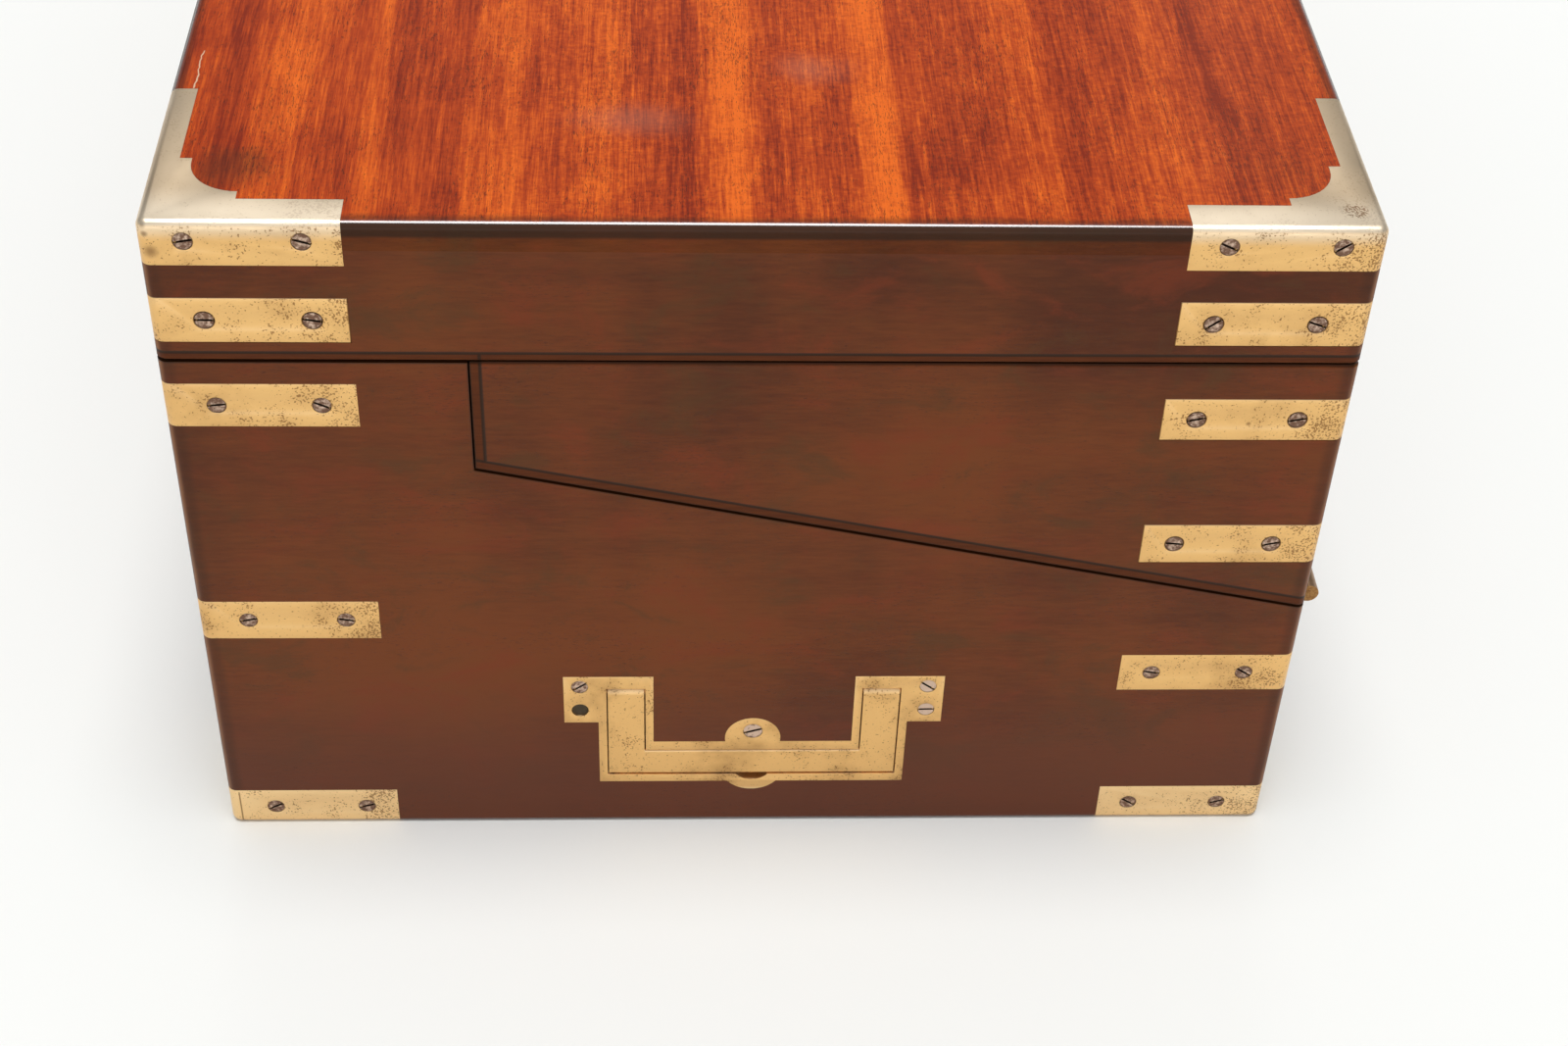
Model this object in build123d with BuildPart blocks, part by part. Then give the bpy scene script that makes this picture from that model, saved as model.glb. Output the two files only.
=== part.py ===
from build123d import *
from math import atan2, cos, sin, sqrt, tan
import os

# A brass-bound mahogany writing slope, shut. Millimetres.
# X runs along the box, the front is at -Y, Z is up, and the origin is the middle of the footprint.
# Three parts are cut from one block: a base with a fixed back block, a wedge-shaped slope section
# hinged to the front of the base, and a full-width lid hinged at the back.

# ---------------------------------------------------------------- driving dimensions
case_length = 508.0
case_depth = 267.0
case_height = 186.0
wall = 10.0                  # end, front and back boards
bottom_thickness = 8.0
panel_thickness = 8.0        # step board, slope section's top and back, writing boards
lid_height = 36.6
lid_top_thickness = 7.0
lining_thickness = 1.2

# seams
seam_gap = 0.4               # between the lid and what it shuts on
step_gap = 0.4               # between the back block and the slope section
slope_gap = 0.8              # between the base and the slope section, square to the slope
step_from_back = 68.0        # depth of the back block, to the middle of the step gap
step_drop = 30.5             # slope seam at the foot of the step, below the case's rim
front_seam_drop = 73.9       # slope seam at the front face, below the case's rim
lipping = 2.3                # thin strips on the lid's and the slope section's edges
lipping_joint = 0.1          # hairline between two strips

# rounding
upright_arris = 2.5
top_arris = 2.0
foot_arris = 1.6
eased_edge = 0.6

# corner brasses and straps
brass_thickness = 1.3
strap_leg = 43.0
strap_width = 12.0
lid_strap_below_top = 31.4        # each of these is measured to the strap's lower edge
back_strap_below_seam = 18.2
upper_slope_strap_below_seam = 21.7
lower_slope_strap_above_seam = 14.7
front_strap_below_slope = 28.0
corner_brass_drop = 11.0     # how far a corner brass reaches down the lid's sides
corner_brass_leg_x = 53.0    # its top plate's reach along the long edges
corner_brass_leg_y = 43.0    # and along the end
corner_brass_rim_x = 6.3     # width of the long leg beyond its shoulder
corner_brass_rim_y = 9.0     # width of the end leg beyond its shoulder
long_leg_shoulder = 24.6     # where the long leg widens, from the end
long_leg_shoulder_width = 9.0
end_leg_shoulder_width = 11.8
hollow_radius = 11.2         # concave inner corner of the top plate

# flush handles, measured from the middle of the end and up from the floor
plate_half_width = 38.7
plate_arm_inner = 25.0
plate_bottom = 14.8
plate_crossbar_top = 29.3
plate_top = 52.2
plate_depth = 6.6
ear_half_width = 47.2
ear_bottom = 36.3
ear_thickness = 2.0
upper_lobe_radius = 7.0
upper_lobe_height = 30.6
lower_lobe_radius = 8.0
lower_lobe_height = 19.8
bail_half_width = 36.3
bail_bar = 9.0               # width of the bail's arms
bail_grip = 8.4              # height of its crossbar
bail_bottom = 17.6
bail_top = 47.7
bail_thickness = 4.6
bail_edge = 0.7
bail_clearance = 0.35
thumb_radius = 5.0
thumb_height = 20.3
thumb_depth = 5.8
handle_pin_radius = 1.0
pin_fit = 0.05               # running clearance of every moving hinge eye

# butt hinges of the lid and the slope section
barrel_radius = 2.5
barrel_outset = 1.9          # barrel axis outside the face
hinge_pin_radius = 1.0
leaf_thickness = 1.4
leaf_width = 9.0
hinge_length = 60.0
knuckles = 3
knuckle_gap = 0.2
barrel_clearance = 0.3
lid_hinge_from_end = 62.0
slope_hinge_from_end = 5.4

# back block
compartment_depth = 52.0     # compartment floor below the rim
floor_thickness = 5.0
divider_thickness = 4.0
divider_drop = 0.8
well_width = 48.0            # an inkwell's well
nib_box_width = 48.0         # the small compartment beside it
tray_height = 14.0
tray_clearance = 0.4
ledge_width = 8.0
ledge_height = 10.0
scoop_radius = 24.0
scoop_depth = 9.0
scoop_margin = 14.0

# inkwells
bottle_width = 44.0
bottle_corner = 4.0
bottle_height = 34.0
bottle_shoulder = 3.0
bottle_bore_radius = 11.0
bottle_floor = 4.0
neck_radius = 13.0
neck_height = 4.0
collar_radius = 15.0
collar_gap = 0.3
cap_thickness = 3.4
cap_bevel = 1.2
cap_radius = 14.6
cap_tongue = 2.9             # how far the cap's hinge tongue reaches in under its edge
cap_hinge_outset = 2.4       # cap hinge axis outside the collar
cap_eye_radius = 1.7
cap_pin_radius = 0.7
cap_eye_length = 5.0
collar_eye_length = 2.4

# writing boards
board_clearance = 0.5
leather_thickness = 0.8
leather_margin = 24.0
rest_width = 8.0             # strips under the writing boards
rest_height = 6.0

# lock
lock_length = 60.0
lock_height = 30.0
lock_depth = 6.0
lock_wall = 1.4
selvedge_length = 70.0
selvedge_thickness = 1.6
selvedge_width = 8.6
hook_spacing = 30.0
hook_length = 6.0
hook_thickness = 2.0
hook_reach = 9.0
hook_eye = 3.4
hook_clearance = 0.6
bolt_height = 2.4
bolt_travel = 4.0
bolt_rail = 3.0
bolt_stem = 2.5              # upright that carries a finger
bolt_slack = 0.3
keyhole_radius = 1.8
keyhole_drop = 5.0
keyhole_width = 1.8
escutcheon_radius = 9.0
keyhole_below_top = 19.0

# ---------------------------------------------------------------- worked-out places
half_length = case_length / 2
half_depth = case_depth / 2
inner_x = half_length - wall
inner_y = half_depth - wall
seam_z = case_height - lid_height
case_top = seam_z - seam_gap / 2
lid_bottom = seam_z + seam_gap / 2
lid_ceiling = case_height - lid_top_thickness
step_y = half_depth - step_from_back
block_front_y = step_y + step_gap / 2
section_back_y = step_y - step_gap / 2
step_height = case_top - step_drop
front_seam_height = case_top - front_seam_drop
slope = atan2(step_height - front_seam_height, step_y + half_depth)
section_inner_y = section_back_y - panel_thickness
block_inner_y = block_front_y + panel_thickness
compartment_floor_z = case_top - compartment_depth


def seam_height(y, rise=0.0):
    """Height of the sloping seam at depth y, raised square to the slope by rise."""
    return front_seam_height + (y + half_depth) * tan(slope) + rise / cos(slope)


def block(xs, ys, zs, mode=Mode.ADD):
    """A box between two x, two y and two z values, in the open part."""
    middle = [(low + high) / 2 for low, high in (xs, ys, zs)]
    with Locations(tuple(middle)):
        Box(*(abs(high - low) for low, high in (xs, ys, zs)), mode=mode)


def sloping_band(y_front, y_back, low_rise, high_rise):
    """Corners in the YZ plane of a band that follows the slope between two upright ends."""
    return [
        (y_front, seam_height(y_front, low_rise)),
        (y_back, seam_height(y_back, low_rise)),
        (y_back, seam_height(y_back, high_rise)),
        (y_front, seam_height(y_front, high_rise)),
    ]


def side_plane(x):
    """The plane across the box at x: its own x is Y, its own y is Z."""
    return Plane(origin=(x, 0, 0), x_dir=(0, 1, 0), z_dir=(1, 0, 0))


def slab(points, x_low, x_high):
    """A prism along X of a polygon in the YZ plane, in the open part."""
    with BuildSketch(side_plane(x_low)) as outline:
        Polygon(*points, align=None)
    extrude(outline.sketch, amount=x_high - x_low)


def outer_uprights(part):
    """The upright edges on the four outer corners of a part."""
    return part.edges().filter_by(Axis.Z).filter_by(
        lambda edge: abs(abs(edge.center().Y) - half_depth) < eased_edge / 2
    )


def end_plane(side):
    """The plane on an end face, looking outwards: side is -1 for the left end, 1 for the right."""
    return Plane(origin=(side * half_length, 0, 0), x_dir=(0, side, 0), z_dir=(side, 0, 0))


# ---------------------------------------------------------------- the three envelopes
base_outline = [
    (-half_depth, 0),
    (-half_depth, seam_height(-half_depth, -slope_gap / 2)),
    (block_front_y, seam_height(block_front_y, -slope_gap / 2)),
    (block_front_y, case_top),
    (half_depth, case_top),
    (half_depth, 0),
]
with BuildPart() as base_envelope:
    slab(base_outline, -half_length, half_length)
    fillet(outer_uprights(base_envelope), upright_arris)
    fillet(base_envelope.faces().sort_by(Axis.Z)[0].edges(), foot_arris)

section_outline = [
    (-half_depth, seam_height(-half_depth, slope_gap / 2)),
    (section_back_y, seam_height(section_back_y, slope_gap / 2)),
    (section_back_y, case_top),
    (-half_depth, case_top),
]
with BuildPart() as section_envelope:
    slab(section_outline, -half_length, half_length)
    fillet(outer_uprights(section_envelope), upright_arris)
    front_top = section_envelope.faces().sort_by(Axis.Z)[-1].edges()
    chamfer(front_top.filter_by(Axis.X).sort_by(Axis.Y)[0], eased_edge)

with BuildPart() as lid_envelope:
    block((-half_length, half_length), (-half_depth, half_depth), (lid_bottom, case_height))
    fillet(outer_uprights(lid_envelope), upright_arris)
    fillet(lid_envelope.faces().sort_by(Axis.Z)[-1].edges(), top_arris)
    chamfer(lid_envelope.faces().sort_by(Axis.Z)[0].edges(), eased_edge)


# ---------------------------------------------------------------- straps and corner brasses
def corner_strap(envelope, side_x, side_y, low, high):
    """A strap bent round one upright corner, flush with the envelope it is let into."""
    with BuildPart() as strap:
        with BuildSketch(Plane.XY.offset(low)):
            with Locations((side_x * (half_length - strap_leg / 2), side_y * (half_depth - strap_leg / 2))):
                Rectangle(strap_leg, strap_leg)
            Rectangle(
                case_length - 2 * brass_thickness, case_depth - 2 * brass_thickness, mode=Mode.SUBTRACT
            )
        extrude(amount=high - low)
        add(envelope.part, mode=Mode.INTERSECT)
    return strap.part


def straps_at(envelope, side_y, heights):
    """Straps on both upright corners of the front (-1) or back (1), at each height."""
    return [
        corner_strap(envelope, side_x, side_y, low, low + strap_width)
        for side_x in (-1, 1)
        for low in heights
    ]


def gathered(solids):
    """Separate solids in one part."""
    with BuildPart() as group:
        add(solids)
    return group


back_strap_z = seam_z - back_strap_below_seam
base_straps = gathered(
    straps_at(base_envelope, -1, (0, front_seam_height - front_strap_below_slope))
    + straps_at(base_envelope, 1, (0, back_strap_z / 2, back_strap_z))
)
slope_strap_heights = (
    front_seam_height + lower_slope_strap_above_seam,
    seam_z - upper_slope_strap_below_seam,
)
slope_straps = gathered(straps_at(section_envelope, -1, slope_strap_heights))
lid_strap_heights = (case_height - lid_strap_below_top,)
lid_straps = gathered(
    straps_at(lid_envelope, -1, lid_strap_heights) + straps_at(lid_envelope, 1, lid_strap_heights)
)


def corner_brass(side_x, side_y):
    """A three-sided corner brass: a top plate with a hollowed inner corner and a leg down each side."""
    corner = Plane(
        origin=(side_x * half_length, side_y * half_depth, case_height - corner_brass_drop)
    )
    hollow = (
        end_leg_shoulder_width + hollow_radius,
        long_leg_shoulder_width + hollow_radius,
    )
    with BuildPart() as brass:
        # the top plate's outline, from the corner inwards, turned to the corner by the two signs
        with BuildSketch(corner) as top_plate:
            with BuildLine():
                Polyline(
                    (0, 0),
                    (side_x * -corner_brass_leg_x, 0),
                    (side_x * -corner_brass_leg_x, side_y * -corner_brass_rim_x),
                    (side_x * -long_leg_shoulder, side_y * -corner_brass_rim_x),
                    (side_x * -long_leg_shoulder, side_y * -long_leg_shoulder_width),
                    (side_x * -hollow[0], side_y * -long_leg_shoulder_width),
                )
                ThreePointArc(
                    (side_x * -hollow[0], side_y * -long_leg_shoulder_width),
                    (
                        side_x * -(hollow[0] - hollow_radius / sqrt(2)),
                        side_y * -(hollow[1] - hollow_radius / sqrt(2)),
                    ),
                    (side_x * -end_leg_shoulder_width, side_y * -hollow[1]),
                )
                Polyline(
                    (side_x * -end_leg_shoulder_width, side_y * -hollow[1]),
                    (side_x * -corner_brass_rim_y, side_y * -hollow[1]),
                    (side_x * -corner_brass_rim_y, side_y * -corner_brass_leg_y),
                    (0, side_y * -corner_brass_leg_y),
                    (0, 0),
                )
            make_face()
        extrude(amount=corner_brass_drop)
        add(lid_envelope.part, mode=Mode.INTERSECT)
        block(
            (-half_length + brass_thickness, half_length - brass_thickness),
            (-half_depth + brass_thickness, half_depth - brass_thickness),
            (lid_bottom, case_height - brass_thickness),
            Mode.SUBTRACT,
        )
    return brass.part


corner_brasses_front = gathered([corner_brass(side_x, -1) for side_x in (-1, 1)])
corner_brasses_back = gathered([corner_brass(side_x, 1) for side_x in (-1, 1)])


# ---------------------------------------------------------------- flush handles
bail_axis_depth = bail_thickness / 2
bail_axis_height = bail_top - bail_axis_depth
bail_inner = bail_half_width - bail_bar
trough_depth = bail_thickness + 2 * bail_clearance


def rectangle_between(low, high, mode=Mode.ADD):
    """A rectangle between two corners, in the open sketch."""
    with Locations(((low[0] + high[0]) / 2, (low[1] + high[1]) / 2)):
        Rectangle(high[0] - low[0], high[1] - low[1], mode=mode)


def handle_pocket(side):
    """The outside form of a handle plate, which is also the pocket cut for it in the end board."""
    with BuildPart() as pocket:
        with BuildSketch(end_plane(side)):
            rectangle_between((-plate_half_width, plate_bottom), (plate_half_width, plate_top))
            rectangle_between(
                (-plate_arm_inner, plate_crossbar_top), (plate_arm_inner, plate_top), Mode.SUBTRACT
            )
            with Locations((0, lower_lobe_height)):
                Circle(lower_lobe_radius)
        extrude(amount=-plate_depth)
        with BuildSketch(end_plane(side)):
            rectangle_between((-ear_half_width, ear_bottom), (-plate_half_width, plate_top))
            rectangle_between((plate_half_width, ear_bottom), (ear_half_width, plate_top))
            with Locations((0, upper_lobe_height)):
                Circle(upper_lobe_radius)
        extrude(amount=-ear_thickness)
    return pocket.part


def handle_plate(side):
    """The cast U-shaped plate: a trough for the bail, its two pivot pins, ears, a lobe and a thumb hollow."""
    face = end_plane(side)
    with BuildPart() as plate:
        add(handle_pocket(side))
        with BuildSketch(face):
            reach = bail_half_width + bail_clearance
            rectangle_between((-reach, bail_bottom - bail_clearance), (reach, bail_top + bail_clearance))
            rectangle_between(
                (-bail_inner + bail_clearance, bail_bottom + bail_grip + bail_clearance),
                (bail_inner - bail_clearance, bail_top + bail_clearance),
                Mode.SUBTRACT,
            )
        extrude(amount=-trough_depth, mode=Mode.SUBTRACT)
        with BuildSketch(face):
            with Locations((0, thumb_height)):
                Circle(thumb_radius)
        extrude(amount=-thumb_depth, mode=Mode.SUBTRACT)
        for side_y in (-1, 1):
            with BuildSketch(handle_pin_plane(side, side_y * plate_arm_inner)):
                Circle(handle_pin_radius)
            extrude(amount=side_y * (plate_half_width - plate_arm_inner))
    return plate


def handle_bail(side):
    """The drop handle: a square U whose arm ends are rounded about their pivot."""
    with BuildPart() as bail:
        with BuildSketch(end_plane(side)):
            rectangle_between((-bail_half_width, bail_bottom), (bail_half_width, bail_top))
            rectangle_between(
                (-bail_inner, bail_bottom + bail_grip), (bail_inner, bail_top), Mode.SUBTRACT
            )
        extrude(amount=-bail_thickness)
        arm_ends = bail.faces().sort_by(Axis.Z)[-2:]
        fillet(arm_ends.edges().filter_by(Axis.Y), bail_thickness / 2 - pin_fit)
        front = bail.faces().filter_by(Axis.X).sort_by(Axis.X)[0 if side < 0 else -1]
        fillet(front.edges().filter_by(Axis.Y), bail_edge)
        with BuildSketch(handle_pin_plane(side, -plate_half_width)):
            Circle(handle_pin_radius + pin_fit)
        extrude(amount=2 * plate_half_width, mode=Mode.SUBTRACT)
    return bail


def handle_pin_plane(side, y):
    """The plane across a handle's pivot axis at y."""
    return Plane(
        origin=(side * (half_length - bail_axis_depth), y, bail_axis_height), x_dir=(1, 0, 0), z_dir=(0, 1, 0)
    )


left_handle_plate, right_handle_plate = handle_plate(-1), handle_plate(1)
left_bail, right_bail = handle_bail(-1), handle_bail(1)


# ---------------------------------------------------------------- butt hinges
class Butt:
    """Where a butt hinge's axis lies, and which way the wood is from it."""

    def __init__(self, origin, into_wood, outset):
        self.origin, self.into_wood, self.outset = origin, into_wood, outset

    def plane(self, along=0.0):
        """Across the axis: its own x points into the wood and its own y square to the seam."""
        start = (self.origin[0] + along, self.origin[1], self.origin[2])
        return Plane(origin=start, x_dir=self.into_wood, z_dir=(1, 0, 0))


def lid_butt(x):
    """A hinge at the back of the lid seam; its plane's y points down, to the base."""
    return Butt((x, half_depth + barrel_outset, seam_z), (0, -1, 0), barrel_outset)


def slope_butt(x):
    """A hinge at the front of the slope seam; its plane's y points up, to the slope section."""
    y = -half_depth - barrel_outset
    return Butt((x, y, seam_height(y)), (0, cos(slope), sin(slope)), barrel_outset / cos(slope))


def hinge_leaf(butt, towards, gap, own_knuckles, with_pin):
    """One leaf with its knuckles, and either the hinge's pin or the eyes that turn on it.
    towards is 1 or -1, the side of the seam that the leaf lies on."""
    low, high = sorted((towards * gap / 2, towards * (gap / 2 + leaf_thickness)))
    pitch = hinge_length / knuckles
    with BuildPart() as leaf:
        with BuildSketch(butt.plane()):
            rectangle_between((butt.outset, low), (butt.outset + leaf_width, high))
            Circle(barrel_radius + barrel_clearance, mode=Mode.SUBTRACT)
        extrude(amount=hinge_length)
        for number in own_knuckles:
            with BuildSketch(butt.plane(number * pitch + knuckle_gap / 2)):
                rectangle_between((0, low), (butt.outset + leaf_width / 2, high))
                Circle(barrel_radius)
            extrude(amount=pitch - knuckle_gap)
        with BuildSketch(butt.plane()):
            Circle(hinge_pin_radius if with_pin else hinge_pin_radius + pin_fit)
        extrude(amount=hinge_length, mode=Mode.ADD if with_pin else Mode.SUBTRACT)
    return leaf.part


def barrel_recess(butt):
    """The rounded hollow in the wood along a hinge's barrel."""
    with BuildPart() as recess:
        with BuildSketch(butt.plane()):
            Circle(barrel_radius + barrel_clearance)
        extrude(amount=hinge_length)
    return recess.part


lid_butts = [
    lid_butt(-half_length + lid_hinge_from_end),
    lid_butt(half_length - lid_hinge_from_end - hinge_length),
]
slope_butts = [
    slope_butt(-half_length + slope_hinge_from_end),
    slope_butt(half_length - slope_hinge_from_end - hinge_length),
]
outer_knuckles = range(0, knuckles, 2)
inner_knuckles = range(1, knuckles, 2)


def leaves(butts, towards, gap, own_knuckles, with_pin):
    """The like leaves of a pair of hinges."""
    return gathered([hinge_leaf(butt, towards, gap, own_knuckles, with_pin) for butt in butts])


lid_hinge_lower_leaves = leaves(lid_butts, 1, seam_gap, outer_knuckles, True)
lid_hinge_upper_leaves = leaves(lid_butts, -1, seam_gap, inner_knuckles, False)
slope_hinge_lower_leaves = leaves(slope_butts, -1, slope_gap, outer_knuckles, True)
slope_hinge_upper_leaves = leaves(slope_butts, 1, slope_gap, inner_knuckles, False)
lid_barrel_recesses = [barrel_recess(butt) for butt in lid_butts]
slope_barrel_recesses = [barrel_recess(butt) for butt in slope_butts]

# ---------------------------------------------------------------- lock
lock_front_y = -inner_y - lock_depth
lock_back_y = -inner_y
lock_mid_y = lock_front_y + lock_wall + (lock_depth - 2 * lock_wall) / 2
keyhole_z = case_top - keyhole_below_top
bolt_z = case_top - hook_reach + (hook_reach - seam_gap) / 2 - bolt_height


def keyhole(depth_from, depth_to):
    """A keyhole-shaped prism along Y: a round top and a narrow slot."""
    with BuildPart() as hole:
        with BuildSketch(Plane(origin=(0, depth_from, keyhole_z), x_dir=(1, 0, 0), z_dir=(0, 1, 0))):
            Circle(keyhole_radius)
            rectangle_between((-keyhole_width / 2, 0), (keyhole_width / 2, keyhole_drop))
        extrude(amount=depth_to - depth_from)
    return hole.part


hook_xs = [side * hook_spacing / 2 for side in (-1, 1)]
with BuildPart() as lock_pocket:
    case_z = (case_top - lock_height, case_top)
    block((-lock_length / 2, lock_length / 2), (lock_front_y, lock_back_y), case_z)
    block(
        (-selvedge_length / 2, selvedge_length / 2),
        (lock_back_y - selvedge_width, lock_back_y),
        (case_top - selvedge_thickness, case_top),
    )

with BuildPart() as lock_case:
    add(lock_pocket.part)
    # the chamber that the bolt slides in and the hooks come down into
    block(
        (-lock_length / 2 + lock_wall, lock_length / 2 - lock_wall),
        (lock_front_y + lock_wall, lock_back_y - lock_wall),
        (case_top - lock_height + lock_wall, case_top - selvedge_thickness),
        Mode.SUBTRACT,
    )
    slot_half_length = hook_length / 2 + hook_clearance
    slot_half_width = hook_thickness / 2 + hook_clearance
    for hook_x in hook_xs:
        block(
            (hook_x - slot_half_length, hook_x + slot_half_length),
            (lock_mid_y - slot_half_width, lock_mid_y + slot_half_width),
            (case_top - selvedge_thickness, case_top),
            Mode.SUBTRACT,
        )
    add(keyhole(lock_front_y, lock_front_y + lock_wall), mode=Mode.SUBTRACT)

# a rail under the hooks carries one finger beside each hook's eye
rail_top = case_top - hook_reach - bolt_slack
with BuildPart() as lock_bolt:
    rail_ends = (
        -hook_spacing / 2 - hook_length / 2 - bolt_travel - 2 * bolt_stem,
        hook_spacing / 2 + hook_length / 2,
    )
    rail_y = (lock_front_y + lock_wall + bolt_slack, lock_back_y - lock_wall - bolt_slack)
    block(rail_ends, rail_y, (rail_top - bolt_rail, rail_top))
    for hook_x in hook_xs:
        stem_x = hook_x - hook_length / 2 - bolt_travel - bolt_stem
        block((stem_x - bolt_stem, stem_x), rail_y, (rail_top, bolt_z + bolt_height))
        block(
            (stem_x - bolt_stem, hook_x - hook_length / 2 - bolt_slack),
            (lock_mid_y - bolt_height / 2, lock_mid_y + bolt_height / 2),
            (bolt_z, bolt_z + bolt_height),
        )

with BuildPart() as lock_link_plate:
    block(
        (-selvedge_length / 2, selvedge_length / 2),
        (lock_back_y - selvedge_width, lock_back_y),
        (lid_bottom, lid_bottom + selvedge_thickness),
    )
    for hook_x in hook_xs:
        hook_x_span = (hook_x - hook_length / 2, hook_x + hook_length / 2)
        hook_y_span = (lock_mid_y - hook_thickness / 2, lock_mid_y + hook_thickness / 2)
        block(hook_x_span, hook_y_span, (case_top - hook_reach, lid_bottom))
        block(
            (hook_x_span[0] - bolt_slack, hook_x + hook_length / 2 - lock_wall),
            hook_y_span,
            (bolt_z + bolt_height / 2 - hook_eye / 2, bolt_z + bolt_height / 2 + hook_eye / 2),
            Mode.SUBTRACT,
        )

with BuildPart() as lock_escutcheon:
    with BuildSketch(Plane(origin=(0, -half_depth, keyhole_z), x_dir=(1, 0, 0), z_dir=(0, 1, 0))):
        Circle(escutcheon_radius)
    extrude(amount=brass_thickness)
    add(keyhole(-half_depth, lock_front_y), mode=Mode.SUBTRACT)


# ---------------------------------------------------------------- base
def cut_from(envelope, xs, ys, zs, cutters):
    """A board: a box cut out of an envelope, less whatever is let into it."""
    with BuildPart() as board:
        add(envelope.part)
        block(xs, ys, zs, Mode.INTERSECT)
        add(cutters, mode=Mode.SUBTRACT)
    return board


whole_z = (-wall, case_height + wall)
left_x, right_x = (-half_length, -inner_x), (inner_x, half_length)
between_ends = (-inner_x, inner_x)
whole_y = (-half_depth, half_depth)
front_y, back_y = (-half_depth, -inner_y), (inner_y, half_depth)
base_cutters = (
    [base_straps.part, lid_hinge_lower_leaves.part, slope_hinge_lower_leaves.part]
    + lid_barrel_recesses
    + slope_barrel_recesses
)
handle_cutters = [handle_pocket(-1), handle_pocket(1)]
base_left_end = cut_from(base_envelope, left_x, whole_y, whole_z, base_cutters + handle_cutters)
base_right_end = cut_from(base_envelope, right_x, whole_y, whole_z, base_cutters + handle_cutters)
base_front = cut_from(base_envelope, between_ends, front_y, whole_z, base_cutters)
base_back = cut_from(base_envelope, between_ends, back_y, whole_z, base_cutters)

with BuildPart() as base_bottom:
    block(between_ends, (-inner_y, inner_y), (0, bottom_thickness))

with BuildPart() as step_board:
    block(between_ends, (block_front_y, block_inner_y), (bottom_thickness, case_top))

with BuildPart() as compartment_floor:
    floor_z = (compartment_floor_z - floor_thickness, compartment_floor_z)
    block(between_ends, (block_inner_y, inner_y), floor_z)

outer_divider = inner_x - well_width - divider_thickness / 2
inner_divider = outer_divider - divider_thickness - nib_box_width
divider_top = case_top - divider_drop
block_middle_y = (block_inner_y + inner_y) / 2
block_width_y = inner_y - block_inner_y
divider_xs = (-outer_divider, -inner_divider, inner_divider, outer_divider)
with BuildPart() as compartment_dividers:
    with BuildSketch(Plane.XY.offset(compartment_floor_z)):
        with Locations([(x, block_middle_y) for x in divider_xs]):
            Rectangle(divider_thickness, block_width_y)
    extrude(amount=divider_top - compartment_floor_z)

tray_half_length = inner_divider - divider_thickness / 2
tray_bottom = divider_top - tray_height
with BuildPart() as tray_ledges:
    with BuildSketch(Plane.XY.offset(tray_bottom - ledge_height)):
        with Locations([(side * (tray_half_length - ledge_width / 2), block_middle_y) for side in (-1, 1)]):
            Rectangle(ledge_width, block_width_y)
    extrude(amount=ledge_height)

scoop_half_length = tray_half_length - scoop_margin
with BuildPart() as pen_tray:
    block(
        (-tray_half_length + tray_clearance, tray_half_length - tray_clearance),
        (block_inner_y + tray_clearance, inner_y - tray_clearance),
        (tray_bottom, divider_top),
    )
    # a long round-bottomed scoop
    scoop_z = divider_top + scoop_radius - scoop_depth
    with BuildSketch(Plane(origin=(-scoop_half_length, block_middle_y, scoop_z), z_dir=(1, 0, 0))):
        Circle(scoop_radius)
    extrude(amount=2 * scoop_half_length, mode=Mode.SUBTRACT)

# ---------------------------------------------------------------- inkwells
well_x = inner_x - well_width / 2
bottle_top = compartment_floor_z + bottle_height
neck_top = bottle_top + neck_height
cap_axis_y = collar_radius + cap_hinge_outset
cap_eye_z = neck_top + collar_gap + cap_eye_radius


def inkwell_plane(side, z):
    return Plane(origin=(side * well_x, block_middle_y, z))


def across_inkwell(side, x, y):
    """A plane across an inkwell's hinge axis, x along from the inkwell's middle."""
    return Plane(
        origin=(side * well_x + x, block_middle_y + y, cap_eye_z), x_dir=(0, 1, 0), z_dir=(1, 0, 0)
    )


def inkwell_bottle(side):
    """A square glass bottle with a round neck and bore."""
    with BuildPart() as bottle:
        with BuildSketch(inkwell_plane(side, compartment_floor_z)):
            RectangleRounded(bottle_width, bottle_width, bottle_corner)
        extrude(amount=bottle_height)
        shoulder_edges = bottle.faces().sort_by(Axis.Z)[-1].edges()
        chamfer(shoulder_edges, bottle_shoulder)
        with BuildSketch(inkwell_plane(side, bottle_top)):
            Circle(neck_radius)
        extrude(amount=neck_height)
        with BuildSketch(inkwell_plane(side, neck_top)):
            Circle(bottle_bore_radius)
        extrude(amount=bottle_floor - bottle_height - neck_height, mode=Mode.SUBTRACT)
    return bottle.part


def inkwell_collar(side):
    """A brass collar round the neck, with two hinge eyes and their pin behind it."""
    with BuildPart() as collar:
        with BuildSketch(inkwell_plane(side, bottle_top)):
            Circle(collar_radius)
            with Locations((0, collar_radius)):
                Rectangle(cap_eye_length + 2 * (collar_eye_length + knuckle_gap), 2 * cap_hinge_outset)
            Circle(neck_radius, mode=Mode.SUBTRACT)
        extrude(amount=neck_height)
        for end in (-1, 1):
            start = end * (cap_eye_length / 2 + knuckle_gap)
            with BuildSketch(across_inkwell(side, start, cap_axis_y)):
                Circle(cap_eye_radius)
                rectangle_between((-cap_eye_radius, -cap_eye_radius), (cap_eye_radius, 0))
                rectangle_between((-cap_eye_radius, bottle_top - cap_eye_z), (0, -cap_eye_radius))
            extrude(amount=end * collar_eye_length)
        with BuildSketch(across_inkwell(side, -cap_eye_length / 2 - knuckle_gap, cap_axis_y)):
            Circle(cap_pin_radius)
        extrude(amount=cap_eye_length + 2 * knuckle_gap)
    return collar.part


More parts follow.
